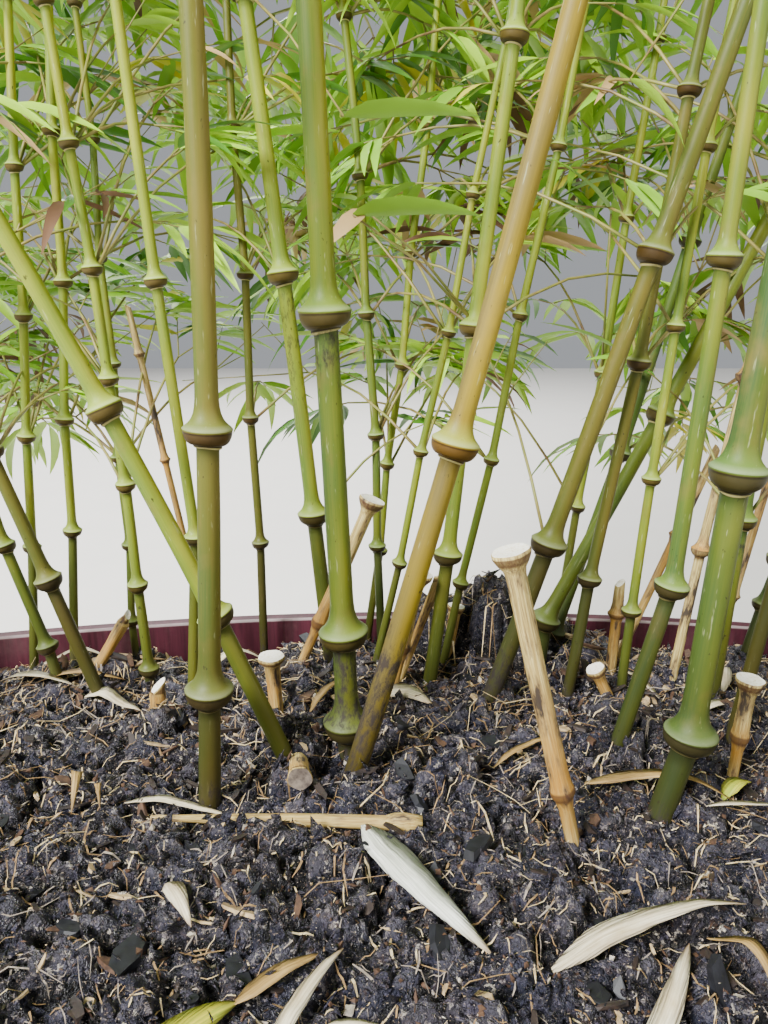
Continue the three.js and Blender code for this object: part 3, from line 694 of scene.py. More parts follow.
class Gathered:
    """Many small parts that are joined into one piece."""

    def __init__(self):
        self.points = []
        self.faces = []
        self.numbers = []
        self.count = 0

    def take(self, points, faces, number):
        """Gather one part: its points, its faces, and the number of its material."""
        self.points.append(points)
        self.faces += [tuple(v + self.count for v in face) for face in faces]
        self.numbers += [number] * len(faces)
        self.count += len(points)

    def piece(self, name, materials, slot, smooth=True, **layers):
        """The joined piece."""
        points = np.vstack(self.points)
        return mesh_piece(name, points, self.faces, materials, slot, self.numbers, smooth, **layers)


def half_depth(x, inset=0.0):
    """Half the trough's inside or outside depth at x, at the rim's height."""
    corner = POT_CORNER - inset
    straight = POT_LENGTH / 2 - POT_CORNER
    side = POT_END_WIDTH / 2 - inset
    x = np.minimum(np.abs(x), straight + corner)
    bowed = side + POT_BOW * (1 - (x / straight) ** 2)
    turn = 1 - np.sqrt(np.clip(1 - (x - straight) / corner, 0, 1))
    return np.where(x <= straight, bowed, side - corner * turn ** 2)


def pot_plan(inset):
    """The trough's outline at the rim, drawn in by inset, anticlockwise from the front left."""
    straight = POT_LENGTH / 2 - POT_CORNER
    corner = POT_CORNER - inset
    along = np.linspace(-straight, straight, WALL_STEPS + 1)
    turn = np.linspace(0, 1, CORNER_STEPS + 1)[1:]
    corner_x = straight + corner * (1 - (1 - turn) ** 2)
    corner_y = POT_END_WIDTH / 2 - inset - corner * turn ** 2
    back = half_depth(along, inset)
    right = list(zip(corner_x, -corner_y)) + list(zip(corner_x[::-1], corner_y[::-1]))
    left = list(zip(-corner_x, corner_y)) + list(zip(-corner_x[::-1], -corner_y[::-1]))
    front_wall = list(zip(along, -back))
    back_wall = list(zip(along[::-1], back))
    return np.array(front_wall + right + back_wall + left)


def foot_share(z):
    """How much of its rim's size the trough has at this height."""
    return POT_FOOT_SHARE + (1 - POT_FOOT_SHARE) * z / POT_HEIGHT


def loops_to_faces(count, around, start=0):
    """Quads between successive loops of points, the first of which begins at start."""
    return [
        (i + j, i + (j + 1) % around, i + around + (j + 1) % around, i + around + j)
        for i in range(start, start + (count - 1) * around, around)
        for j in range(around)
    ]


def tube_faces(count, around, start=0):
    """Quads between successive loops of points, and a face across each end."""
    end = start + count * around
    caps = [tuple(range(start, start + around))[::-1], tuple(range(end - around, end))]
    return loops_to_faces(count, around, start) + caps


class PotSettings(bpy.types.PropertyGroup):
    """The trough."""

    wall: FloatProperty(
        name="Wall", description="Thickness of the moulded wall", default=0.005, unit="LENGTH")
    rim_depth: FloatProperty(
        name="Rim depth", description="Height of the turned-out band at the rim",
        default=0.026, unit="LENGTH")
    colour: FloatVectorProperty(
        name="Plastic", description="Colour of the moulded plastic", subtype="COLOR",
        default=linear("#481b27"), min=0, max=1)


class BAMBOO_OT_pot(bpy.types.Operator):
    """Build the trough with its bowed walls, rounded rim and foot"""

    bl_idname = "bamboo.pot"
    bl_label = "Trough"

    def execute(self, context):
        settings = context.scene.bamboo_pot
        wall, edge, out, top = settings.wall, RIM_EDGE, -RIM_PROUD, POT_HEIGHT
        band = top - settings.rim_depth
        # Each step along the section: how far in from the plan, how high, and how pale with wear and a
        # painted highlight
        section = [
            (0.004, 0.0, 0), (0.001, 0.001, 0), (0.0, 0.004, 0), (0.0, 0.050, 0),
            (0.0, band - 0.012, 0), (0.0, band - 0.002, 0), (-0.001, band, 0), (out + 0.002, band, 0),
            (out, band + 0.002, 0.1), (out, top - edge * 3, 0.15),
            (out + edge * 0.5, top - edge * 0.5, 0.2), (out + edge * 1.5, top, 0), (0.001, top, 0),
            (wall - edge * 1.6, top, 0), (wall - edge * 0.8, top, 0.6),
            (wall - 0.0003, top - edge * 0.6, 0.6), (wall, top - edge * 1.2, 0), (wall, top - 0.05, 0),
            (wall, POT_FLOOR, 0),
        ]
        points, worn = [], []
        for inset, z, rim_wear_and_highlight in section:
            plan = pot_plan(inset) * foot_share(z)
            points += [(x, y, z) for x, y in plan]
            worn += [rim_wear_and_highlight] * len(plan)
        faces = tube_faces(len(section), len(points) // len(section))
        material = material_named("polypropylene_burgundy", plastic_material)
        piece = mesh_piece("trough", points, faces, [material], "pot_plastic", worn=worn)
        piece.data.set_sharp_from_angle(angle=math.radians(40))
        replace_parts(piece, "pot")
        return {"FINISHED"}


class SoilSettings(bpy.types.PropertyGroup):
    """The compost's surface."""

    spacing: FloatProperty(
        name="Mesh spacing", description="Distance between the surface's vertices",
        default=0.0019, unit="LENGTH", precision=4)
    clods: IntProperty(name="Clods", description="How many clods are pressed up", default=1500)
    crumbs: IntProperty(name="Crumbs", description="How many loose crumbs lie on it", default=16000)
    banked: IntProperty(
        name="Banked crumbs", description="How many crumbs lie against a cane's foot", default=90)
    seed: IntProperty(name="Seed", description="Starts the scatter", default=7)


def soft_noise(x, y, size, seed):
    """Smooth noise between 0 and 1 whose bumps are about size across."""
    values = np.random.default_rng(seed).random((512, 512))
    u, v = x / size + 200, y / size + 200
    i, j = np.floor(u).astype(int), np.floor(v).astype(int)
    s, t = u - i, v - j
    s, t = s * s * (3 - 2 * s), t * t * (3 - 2 * t)
    i, j = i % 511, j % 511
    low = values[i, j] * (1 - s) + values[i + 1, j] * s
    high = values[i, j + 1] * (1 - s) + values[i + 1, j + 1] * s
    return low * (1 - t) + high * t


def swelling(x, y, tall, middle_x, reach_x, middle_y, reach_y):
    """A soft rise of the soil round a middle."""
    return tall * np.exp(-((x - middle_x) / reach_x) ** 2 - ((y - middle_y) / reach_y) ** 2)


def soil_level(x, y):
    """The soil's height without its clods: a heap at the back, and a dip along the walls."""
    x, y = np.asarray(x, dtype=float), np.asarray(y, dtype=float)
    heap_x = (x - HEAP_MIDDLE[0]) / HEAP_HALF[0]
    heap_y = (y - HEAP_MIDDLE[1]) / HEAP_HALF[1]
    heap_y = np.where(heap_y < 0, heap_y / HEAP_FRONT_SHARE, heap_y)
    lumpy = 0.72 + 0.34 * soft_noise(x, y, 0.013, 21)
    heap = HEAP_TALL * lumpy * np.clip(1 - heap_x ** 2 - heap_y ** 2, 0, 1) ** 0.75
    to_wall = np.minimum(half_depth(x, 0.005) - np.abs(y), POT_LENGTH / 2 - np.abs(x))
    dip = -(DIP_DEEP + DIP_TILT * np.tanh(y / 0.05)) * np.exp(-np.clip(to_wall, 0, 1) / DIP_REACH)
    mound = 0.007 * (soft_noise(x, y, 0.11, 3) - 0.4)
    hollows = -0.010 * (1 - np.abs(2 * soft_noise(x, y, 0.030, 5) - 1)) ** 3
    return (SOIL_TOP - 0.003 + heap + swelling(x, y, *SHOULDER) + swelling(x, y, *FOOT_SLOPE)
            + dip + mound + hollows)


class SoilSurface:
    """A grid of heights over the trough's inside, which clods are pressed up from."""

    def __init__(self, settings):
        self.half_length = POT_LENGTH / 2 - SOIL_GAP
        self.across = int(2 * self.half_length / settings.spacing) + 1
        self.deep = int((POT_END_WIDTH + 2 * POT_BOW) / settings.spacing) + 1
        columns = np.linspace(-self.half_length, self.half_length, self.across)
        rows = np.linspace(-1, 1, self.deep)
        self.x = np.repeat(columns[:, None], self.deep, axis=1)
        self.y = rows[None, :] * half_depth(self.x, SOIL_GAP)
        self.z = soil_level(self.x, self.y)

    def press_up(self, rng, count, sizes, rise):
        """Raise round lumps; each one's crest stands rise of its radius over the level."""
        base = self.z.copy()
        width = self.x[1, 0] - self.x[0, 0]
        for _ in range(count):
            i = rng.integers(0, self.across)
            j = rng.integers(0, self.deep)
            radius = sizes[0] + (sizes[1] - sizes[0]) * rng.random() ** 2
            reach_i = int(radius / width) + 1
            reach_j = int(radius / max(self.y[i, 1] - self.y[i, 0], NARROWEST_ROW)) + 1
            window = np.s_[max(0, i - reach_i):i + reach_i + 1, max(0, j - reach_j):j + reach_j + 1]
            skew = 0.7 + 0.6 * rng.random()
            dx = (self.x[window] - self.x[i, j]) / radius * skew
            dy = (self.y[window] - self.y[i, j]) / radius / skew
            dome = np.sqrt(np.clip(1 - dx ** 2 - dy ** 2, 0, 1))
            flat = 0.6 + 0.4 * rng.random()
            lump = np.where(dome > 0, base[i, j] + radius * rise * (dome - (1 - flat)), -1)
            self.z[window] = np.maximum(self.z[window], lump)

    def roughen(self):
        """Break the clods' smooth backs into fine grit."""
        fine = soft_noise(self.x, self.y, 0.0042, 11) - 0.5
        finest = soft_noise(self.x, self.y, 0.0023, 12) - 0.5
        self.z += 0.0048 * fine + 0.0034 * finest

    def lift(self):
        """How far each point stands over the soil round it, from 0 in a hollow to 1 on a clod."""
        level = self.z
        for axis in (0, 1):
            spread = [(LIFT_STEPS, LIFT_STEPS) if k == axis else (0, 0) for k in (0, 1)]
            padded = np.pad(level, spread, mode="edge")
            places = np.arange(level.shape[axis])
            shifts = range(2 * LIFT_STEPS + 1)
            level = np.mean([np.take(padded, places + k, axis) for k in shifts], axis=0)
        return np.clip(0.5 + (self.z - level) / LIFT_RANGE, 0, 1)

    def press_down(self, start, end, level):
        """Flatten the soil where something lies from start to end."""
        along = end - start
        share = ((self.x - start[0]) * along[0] + (self.y - start[1]) * along[1]) / (along @ along)
        share = np.clip(share, 0, 1)
        away = np.hypot(self.x - start[0] - along[0] * share, self.y - start[1] - along[1] * share)
        slope = 0.010 * np.clip(away / REST_WIDTH - 1, 0, 9)
        self.z = np.minimum(self.z, level[0] + (level[1] - level[0]) * share + slope)

    def piece(self, name, materials):
        """The surface with a skirt down into the trough, closed by a flat underside."""
        top = np.stack([self.x, self.y, self.z], axis=2)
        shrink = foot_share(self.z)
        top[:, :, 0] *= shrink
        top[:, :, 1] *= shrink
        points = top.reshape(-1, 3)
        index = np.arange(self.across * self.deep).reshape(self.across, self.deep)
        quads = np.stack([index[:-1, :-1], index[1:, :-1], index[1:, 1:], index[:-1, 1:]], axis=2)
        faces = [tuple(int(v) for v in quad) for quad in quads.reshape(-1, 4)]
        rim = [*index[:, 0], *index[-1, 1:], *index[-2::-1, -1], *index[0, -2:0:-1]]
        below = points[rim].copy()
        below[:, 2] = SOIL_TOP - SKIRT_DEEP
        start = len(points)
        count = len(rim)
        for i in range(count):
            k = (i + 1) % count
            faces.append((int(rim[k]), int(rim[i]), start + i, start + k))
        faces.append(tuple(range(start, start + count))[::-1])
        lift = np.concatenate([self.lift().ravel(), np.zeros(count)])
        return mesh_piece(name, np.vstack([points, below]), faces, materials, "compost", lift=lift)


SURFACE = {}


def ground(x, y):
    """The height of the finished soil surface at a point."""
    surface = SURFACE["soil"]
    share = foot_share(SOIL_TOP)
    column = (x / share + surface.half_length) / (2 * surface.half_length) * (surface.across - 1)
    i = int(min(max(round(column), 0), surface.across - 1))
    wall = float(half_depth(x / share, SOIL_GAP))
    row = (y / share / wall + 1) / 2 * (surface.deep - 1)
    j = int(min(max(round(row), 0), surface.deep - 1))
    return float(surface.z[i, j])


class BAMBOO_OT_soil(bpy.types.Operator):
    """Build the compost's surface, with its heap and clods"""

    bl_idname = "bamboo.soil"
    bl_label = "Compost"

    def execute(self, context):
        settings = context.scene.bamboo_soil
        rng = np.random.default_rng(settings.seed)
        surface = SoilSurface(settings)
        surface.press_up(rng, settings.clods // 5, (0.009, 0.020), 0.70)
        surface.press_up(rng, settings.clods, (0.004, 0.011), 0.72)
        surface.press_up(rng, settings.clods * 4, (0.0022, 0.005), 0.9)
        surface.roughen()
        for start, end, *_ in [*FALLEN_LEAVES, STICK_LINE]:
            ends = np.array([start, end]) / foot_share(SOIL_TOP)
            level = np.minimum(soil_level(*ends.T) + 0.004, SOIL_TOP + 0.005)
            surface.press_down(*ends, level)
        SURFACE["soil"] = surface
        piece = surface.piece("compost_surface", [material_named("bark_compost", compost_material)])
        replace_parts(piece, "soil")
        return {"FINISHED"}


LUMP_POINTS = np.array([(0, 0, 1), (1, 0, 0), (0, 1, 0), (-1, 0, 0), (0, -1, 0), (0, 0, -1)])
LUMP_FACES = [
    (0, 1, 2), (0, 2, 3), (0, 3, 4), (0, 4, 1), (5, 2, 1), (5, 3, 2), (5, 4, 3), (5, 1, 4),
]


def turned(points, quaternion):
    """Points turned by a quaternion."""
    return points @ np.array(quaternion.normalized().to_matrix()).T


def scattered(rng, crowd=None):
    """A random place on the soil, clear of the wall; crowd weighs where more things lie."""
    while True:
        x = rng.uniform(-POT_LENGTH / 2 + SCATTER_GAP, POT_LENGTH / 2 - SCATTER_GAP)
        y = rng.uniform(-0.19, 0.19)
        if abs(y) > float(half_depth(x, SCATTER_GAP)):
            continue
        if crowd is None or rng.random() < crowd(x, y):
            return x, y


def beside(rng, cane):
    """A place on the soil just round a cane's foot."""
    turn = rng.uniform(0, math.tau)
    away = cane.thick / 2 * 0.95 + 0.003 * rng.random() ** 1.5
    foot = cane.point(0)
    return foot.x + away * math.cos(turn), foot.y + away * math.sin(turn)


def at_back(x, y):
    """Straw and chips lie thickest behind and at the ends of the clump."""
    return 0.22 + 0.78 * min(1, max(0, (y + 0.03) / 0.16)) + 0.25 * min(1, abs(x) / 0.3)


# The chance that a crumb is compost, then, where it isn't, that it is bark, grit or else wood
CRUMB_CHANCES = (0.72, 0.83, 0.88, 1.0)


class BAMBOO_OT_crumbs(bpy.types.Operator):
    """Scatter loose crumbs of compost and grit over the surface"""

    bl_idname = "bamboo.crumbs"
    bl_label = "Crumbs"

    def execute(self, context):
        settings = context.scene.bamboo_soil
        rng = np.random.default_rng(settings.seed + 1)
        crumbs = Gathered()
        feet = [cane for cane in ALL_CANES for _ in range(int(settings.banked * cane.thick / 0.010))]
        for number in range(-settings.crumbs, len(feet)):
            x, y = scattered(rng) if number < 0 else beside(rng, feet[number])
            kind = next(i for i, chance in enumerate(CRUMB_CHANCES) if rng.random() < chance)
            size = 0.0007 + (0.0034 if kind == 0 else 0.0014) * rng.random() ** 2.5
            stretch = rng.uniform(0.5, 1.5, size=3)
            if rng.random() < 0.6:
                stretch *= (rng.uniform(1.2, 2.4), 0.55, 0.35)
            corners = LUMP_POINTS * stretch * rng.uniform(0.7, 1.3, size=(6, 1))
            corners = turned(corners, Quaternion(rng.normal(size=4))) * size
            corners += (x, y, ground(x, y) + size * rng.uniform(0.1, 0.7))
            crumbs.take(corners, LUMP_FACES, kind)
        compost = material_named("bark_compost", compost_material)
        materials = [compost, *litter("bark_brown", "grit_pale", "wood_chip")]
        lift = np.full(crumbs.count, 0.6)
        crumbs.piece("compost_crumbs", materials, "compost", smooth=False, lift=lift)
        return {"FINISHED"}


def strip(path, widths, sides, thick):
    """A thin flat strip along a path: its points and faces, closed, one loop of four per step."""
    points = []
    for centre, width, side in zip(np.array(path), widths, np.array(sides)):
        half = side * width / 2
        points += [centre - half, centre, centre + half, centre - (0, 0, thick)]
    return np.array(points), tube_faces(len(widths), 4)


# Every so many straws one is long, and every so many chips one is a charred lump, clear of the canes
LONG_STRAW_EVERY = 18
LUMP_EVERY = 14
LUMP_CLEAR = 0.020
LUMP_HALF = (0.0030, 0.0022, 0.0012)
FEET = [cane.foot for cane in ALL_CANES] + [stub[1] for stub in STUBS]

# A chip's outline, the limits of its half sizes, its faces, and the deal of its materials
CHIP_OUTLINE = ((-1, -1), (0.2, -1.3), (1, -0.6), (1.1, 0.7), (-0.1, 1), (-1.1, 0.5))
CHIP_HALF = ((0.002, 0.007), (0.0008, 0.0024), (0.0003, 0.0009))
CHIP_FACES = [(5, 4, 3, 2, 1, 0), (6, 7, 8, 9, 10, 11)]
CHIP_FACES += [(i, (i + 1) % 6, (i + 1) % 6 + 6, i + 6) for i in range(6)]
CHIP_DEAL = (0.55, 0.82)


class BAMBOO_OT_straw(bpy.types.Operator):
    """Scatter straw, fibres and bark chips over the soil"""

    bl_idname = "bamboo.straw"
    bl_label = "Straw and chips"

    def execute(self, context):
        settings = context.scene.bamboo_litter
        rng = np.random.default_rng(settings.seed)
        straws, chips = Gathered(), Gathered()
        for number in range(settings.straws):
            straws.take(*self.straw(rng, number), int(rng.random() * 2.6) % 3)
        for number in range(settings.chips):
            chips.take(*self.chip(rng, number))
        straw = litter("straw_pale", "straw_brown", "straw_grey")
        bark = litter("bark_black", "bark_brown", "wood_chip", "bark_charred")
        straws.piece("straw", straw, "compost", smooth=False)
        chips.piece("bark_chips", bark, "compost", smooth=False)
        return {"FINISHED"}

    def straw(self, rng, number):
        """A bent straw that lies over the clods. Every other one is short, and a few are long."""
        short = number % 2 == 1
        longest = number % LONG_STRAW_EVERY == 0
        x, y = scattered(rng, None if short else at_back)
        long = rng.uniform(0.002, 0.008) if short else rng.uniform(0.003, 0.018)
        if longest:
            long = rng.uniform(0.020, 0.045)
        turn = rng.uniform(0, math.tau)
        bend = rng.uniform(-0.5, 0.5) * (2 if longest else 1)
        width = rng.uniform(0.0003, 0.0008) + 0.0008 * rng.random() ** 4
        spots, sides = [], []
        for share in (0, 0.33, 0.67, 1):
            angle = turn + bend * (share - 0.5)
            spot_x = min(max(x + long * share * math.cos(angle), -STRAW_REACH), STRAW_REACH)
            wall = float(half_depth(spot_x, STRAW_WALL_GAP))
            spots.append((spot_x, min(max(y + long * share * math.sin(angle), -wall), wall)))
            sides.append((-math.sin(angle), math.cos(angle), 0))
        first, *between_ends, last = [ground(*spot) for spot in spots]
        middle = max(*between_ends, (first + last) / 2)
        heights = (first, middle, middle, last + rng.uniform(0, 0.25) * long)
        path = [(*spot, z + 0.0007) for spot, z in zip(spots, heights)]
        widths = [width * share for share in (0.6, 1, 0.9, 0.3)]
        return strip(path, widths, sides, width * 0.5)

    def chip(self, rng, number):
        """A ragged six-sided chip of bark or wood, or a charred lump: points, faces and material."""
        lump = number % LUMP_EVERY == 0
        x, y = scattered(rng, None if lump else at_back)
        while lump and min(math.dist((x, y), foot) for foot in FEET) < LUMP_CLEAR:
            x, y = scattered(rng)
        size = 0.5 + 0.9 * rng.random() ** 2
        half = np.array([rng.uniform(*limits) for limits in CHIP_HALF])
        if lump:
            half = half * 0.5 + LUMP_HALF
        corners = np.array([(i, j, k) for k in (-1, 1) for i, j in CHIP_OUTLINE])
        corners = corners * half * size * rng.uniform(0.75, 1.25, size=(12, 1))
        corners = turned(corners, Quaternion((1, *(rng.normal(size=3) * (0.25, 0.25, 1.5)))))
        corners += (x, y, ground(x, y) + 0.0006 + half[0] * 0.15)
        deal = rng.random()
        return corners, CHIP_FACES, 3 if lump else sum(deal >= limit for limit in CHIP_DEAL)


class CulmSettings(bpy.types.PropertyGroup):
    """The canes' surface."""

    slimness: FloatProperty(
        name="Slimness", description="Width between nodes, as a share of the solids'",
        default=0.93, min=0.8, max=1)
    ring_wobble: FloatProperty(
        name="Ring wobble", description="How unevenly a node's ring stands out, as a share",
        default=0.06, min=0, max=0.2)
    scar_slant: FloatProperty(
        name="Scar slant", description="How far the sheath scar tilts, in cane diameters",
        default=0.10, min=0, max=0.4)
    buried: FloatProperty(
        name="Buried", description="How deep a cane runs on into the soil",
        default=0.030, unit="LENGTH")


# A node's flare above its ring, in cane diameters up and in shares of the ring's swelling
FLARE_SECTION = [
    (0.04, 0.99), (0.09, 0.92), (0.15, 0.79), (0.23, 0.63), (0.34, 0.46), (0.48, 0.31), (0.68, 0.17),
    (0.95, 0.075), (1.3, 0.02), (1.75, 0.0),
]

# The hollow-sided cone under the ring: its top and depth in cane diameters, its foot's swelling,
# and the shares of its depth that have a loop
BOWL_TOP = -0.07
BOWL_DEEP = 0.64
BOWL_FOOT = 0.20
BOWL_SHARES = (0, 0.12, 0.26, 0.42, 0.58, 0.74, 0.88, 1)


def node_section():
    """A node's loops going up: rise, swelling, slant, flare zone and cone zone."""
    rows = [
        (-2.1, 0.0, 0.0, 0, 0.0), (-1.4, 0.0, 0.6, 0, 0.35), (-0.90, 0.0, 1.0, 0, 0.575),
        (-0.87, 0.05, 1.0, 0, 0.596), (-0.83, 0.17, 1.0, 0, 0.608), (-0.77, 0.21, 0.9, 0, 0.622),
    ]
    for share in reversed(BOWL_SHARES):
        turn = share * math.pi / 2
        rise = BOWL_TOP - BOWL_DEEP * math.sin(turn)
        swell = BOWL_FOOT + (0.96 - BOWL_FOOT) * math.cos(turn)
        rows.append((rise, swell, 0.8 * share, 0, 0.965 - 0.335 * share))
    rows += [(-0.045, 0.99, 0.0, 0, 0.98), (0.0, 1.0, 0.0, 0, 0.99), (0.012, 1.0, 0.0, 1.0, 0)]
    rows += [(rise, swell, 0.0, 1 - rise / FLARE_LENGTH, 0) for rise, swell in FLARE_SECTION]
    return rows


NODE_SECTION = node_section()
PLAIN_SECTION = NODE_SECTION[1:5:3] + NODE_SECTION[5:14:2] + NODE_SECTION[15:27:3]
FULL_NODES_UP_TO = 0.75

# Stretches of a cane that are smeared with mud: from, to and how much
MUDDY = {
    "cane_front_middle": [(0.012, 0.068, 0.37), (0.200, 0.236, 0.35)],
    "cane_golden": [(0.0, 0.030, 0.36), (0.034, 0.088, 0.43)],
    "cane_front_left": [(0.0, 0.02, 0.34)],
    "cane_right_thick": [(0.0, 0.05, 0.38), (0.09, 0.104, 0.36)],
    "cane_back_left": [(0.16, 0.255, 0.30)],
    "cane_right_light": [(0.085, 0.110, 0.38)],
}
SPLASH_REACH = 0.014
SMEAR_EDGE = 0.006

# Painted shade darkens a cane's foot: it fades upwards, and lies thick up to the first node where that is
# close to the soil
FOOT_SHADE_REACH = 0.09
LOW_FIRST_NODE = 0.12
THICK_FOOT_SHADE = 0.78


def foot_shaded(cane, height):
    """How much painted shade a cane's foot has at a height."""
    amount = math.exp(-max(height, 0) / FOOT_SHADE_REACH)
    if height < cane.nodes[0] < LOW_FIRST_NODE:
        amount = max(amount, THICK_FOOT_SHADE)
    return amount


def mud(cane, height):
    """How muddy a cane is at a height: a splash at its foot, and its own smeared stretches."""
    amount = 0.40 * math.exp(-max(height, 0) / SPLASH_REACH)
    for low, high, share in MUDDY.get(cane.name, ()):
        edge = min((height - low) / SMEAR_EDGE, (high - height) / SMEAR_EDGE, 1)
        amount = max(amount, share * max(edge, 0))
    return amount


def cane_rings(cane, settings, noise):
    """Every loop up a cane: height, radius, slant, flare, cone, and its slant's turn and tilt."""
    slim = settings.slimness
    plain = (0, 0, 0, 0, 0)
    rings = [(-settings.buried, cane.radius(0) * slim, *plain)]
    last = -settings.buried
    for height in cane.nodes:
        radius = cane.radius(height) * slim
        low = height < FULL_NODES_UP_TO
        swell = (RING_SHARE / slim - 1) * (0.96 if low else 0.72)
        swell *= 1 + noise.uniform(-settings.ring_wobble, settings.ring_wobble)
        turn = noise.uniform(0, math.tau)
        tilt = noise.uniform(-0.06, 0.06)
        bottom = height - 4.2 * radius
        for share in (0.25, 0.5, 0.75) if low else (0.5,):
            at = last + (bottom - last) * share
            if bottom - last > 0.016:
                rings.append((at, cane.radius(at) * slim, *plain))
        for rise, width, slant, flare, cone in NODE_SECTION if low else PLAIN_SECTION:
            at = height + rise * 2 * radius
            if at > rings[-1][0] + 1e-5:
                shift = slant * 2 * radius * settings.scar_slant
                rings.append((at, radius * (1 + swell * width), shift, flare, cone, turn, tilt * width))
        last = rings[-1][0]
    rings.append((cane.tall - 0.001, cane.radius(cane.tall) * slim, *plain))
    rings.append((cane.tall, cane.radius(cane.tall) * 0.6, *plain))
    return rings


def kinked(cane, height, turn, reach):
    """How far a slim cane stands aside from its line: it turns a little at every node."""
    stops = [0, *cane.nodes, cane.tall]
    for i in range(len(stops) - 1):
        if height <= stops[i + 1]:
            share = max(0, height - stops[i]) / (stops[i + 1] - stops[i])
            ends = [0 if k == 0 else (1 if k % 2 else -1) for k in (i, i + 1)]
            aside = reach * (ends[0] + (ends[1] - ends[0]) * share)
            return np.array((aside * math.cos(turn), aside * math.sin(turn), 0))
    return np.zeros(3)


def round_loop(angles, radii, rise):
    """A loop of points round the Z axis."""
    return np.stack([radii * np.cos(angles), radii * np.sin(angles), rise], axis=1)


# The material slot of a cane whose tone has one of its own
TONE_SLOTS = {"olive": "cane_olive", "golden": "cane_golden", "dry": "cane_dry"}


def cane_piece(cane, number, settings):
    """One cane with all its nodes, as a closed tube bent along its line."""
    noise = random.Random(900 + number)
    rings = cane_rings(cane, settings, noise)
    sides = 28 if cane.thick > 0.0115 else 20 if cane.thick > 0.0075 else 14
    angles = np.arange(sides) * math.tau / sides
    points, culm, zone, grime = [], [], [], []
    offset = number * 0.37
    kink_turn = noise.uniform(0, math.tau)
    kink = 0.0013 if cane.thick < 0.0100 else 0.0004
    for height, radius, slant, flare, cone, turn, tilt in rings:
        rise = slant * np.cos(angles - turn) + tilt * radius * np.cos(angles - turn + 1.3)
        uneven = 1 + 0.012 * np.cos(2 * angles + turn) + 0.008 * np.cos(3 * angles + height * 40)
        local = round_loop(angles, radius * uneven, rise)
        matrix = np.array(UP.rotation_difference(cane.way(height)).to_matrix())
        centre = np.array(cane.point(height)) + kinked(cane, height, kink_turn, kink)
        points.append(local @ matrix.T + centre)
        culm.append(local + (0, 0, height + offset))
        zone += [(flare, cone, mud(cane, height))] * sides
        grime += [foot_shaded(cane, height)] * sides
    if cane.tone == "dry":
        material = material_named("bamboo_culm_dead", dead_culm_material)
    else:
        material = material_named(f"bamboo_culm_{cane.tone}", culm_material, cane.tone)
    piece = mesh_piece(
        cane.name + "_culm", np.vstack(points), tube_faces(len(rings), sides), [material],
        TONE_SLOTS.get(cane.tone, "cane_green"), culm=np.vstack(culm), zone=zone, grime=grime)
    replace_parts(piece, cane.name)


class BAMBOO_OT_canes(bpy.types.Operator):
    """Build every cane with its swollen nodes, flares and sheath scars"""

    bl_idname = "bamboo.canes"
    bl_label = "Canes"

    def execute(self, context):
        for number, cane in enumerate(ALL_CANES):
            cane_piece(cane, number, context.scene.bamboo_culm)
        return {"FINISHED"}


# A stub's most amber stretch, and how its cut face is drawn in and dished towards the middle
AMBER_REACH = 0.26
CUT_SHARES = (0.9, 0.6, 0.25)
CUT_DEEP = 0.0008


def turned_stub(name, foot, axis, profile, cut_tilt=0.0, amber_at=0.25, sides=24, lift=0.0):
    """A dead end of cane turned from a profile of (height, radius, cone zone), with a cut top.

    It grows from its foot along axis, which has length 1 in Z unless it lies flat. It is most
    amber at the share of its height given by amber_at.
    """
    angles = np.arange(sides) * math.tau / sides
    matrix = np.array(UP.rotation_difference(Vector(axis).normalized()).to_matrix())
    axis = np.array(Vector(axis))
    turn = random.Random(name).uniform(0, math.tau)
    base = np.array((*foot, SOIL_TOP + CLEARANCE + lift))
    rows = len(profile)
    top = profile[-1][0]
    points, culm, zone = [], [], []
    for height, radius, cone in profile:
        uneven = 1 + 0.05 * np.cos(2 * angles + turn) + 0.03 * np.cos(5 * angles + 2 * turn + height * 60)
        rise = cut_tilt * radius * np.cos(angles - turn) * (height > top * 0.9)
        local = round_loop(angles, radius * uneven, rise)
        points.append(local @ matrix.T + base + axis * height)
        culm.append(local + (0, 0, height + turn))
        amber = 0.95 * math.exp(-((height / top - amber_at) / AMBER_REACH) ** 2)
        zone += [(amber, cone, 0)] * sides
    faces = loops_to_faces(rows, sides) + [tuple(range(sides))[::-1]]
    cut_edge = points[-1]
    centre = cut_edge.mean(axis=0)
    for share in CUT_SHARES:
        points.append(centre + (cut_edge - centre) * share - axis * CUT_DEEP * (1 - share))
        culm.append(culm[rows - 1] * (share, share, 1))
        zone += [(0, 0, 0)] * sides
    end = len(points) * sides
    cut = loops_to_faces(len(CUT_SHARES) + 1, sides, (rows - 1) * sides)
    cut.append(tuple(range(end - sides, end)))
    materials = [
        material_named("bamboo_culm_dead", dead_culm_material),
        material_named("bamboo_cut_end", cut_face_material),
    ]
    numbers = [0] * len(faces) + [1] * len(cut)
    piece = mesh_piece(
        name, np.vstack(points), faces + cut, materials, "cane_dry", numbers,
        culm=np.vstack(culm), zone=zone)
    piece.data.set_sharp_from_angle(angle=math.radians(50))
    return piece


def leaning(degrees):
    """The way of something that leans towards +X by this angle."""
    return math.tan(math.radians(degrees)), 0, 1


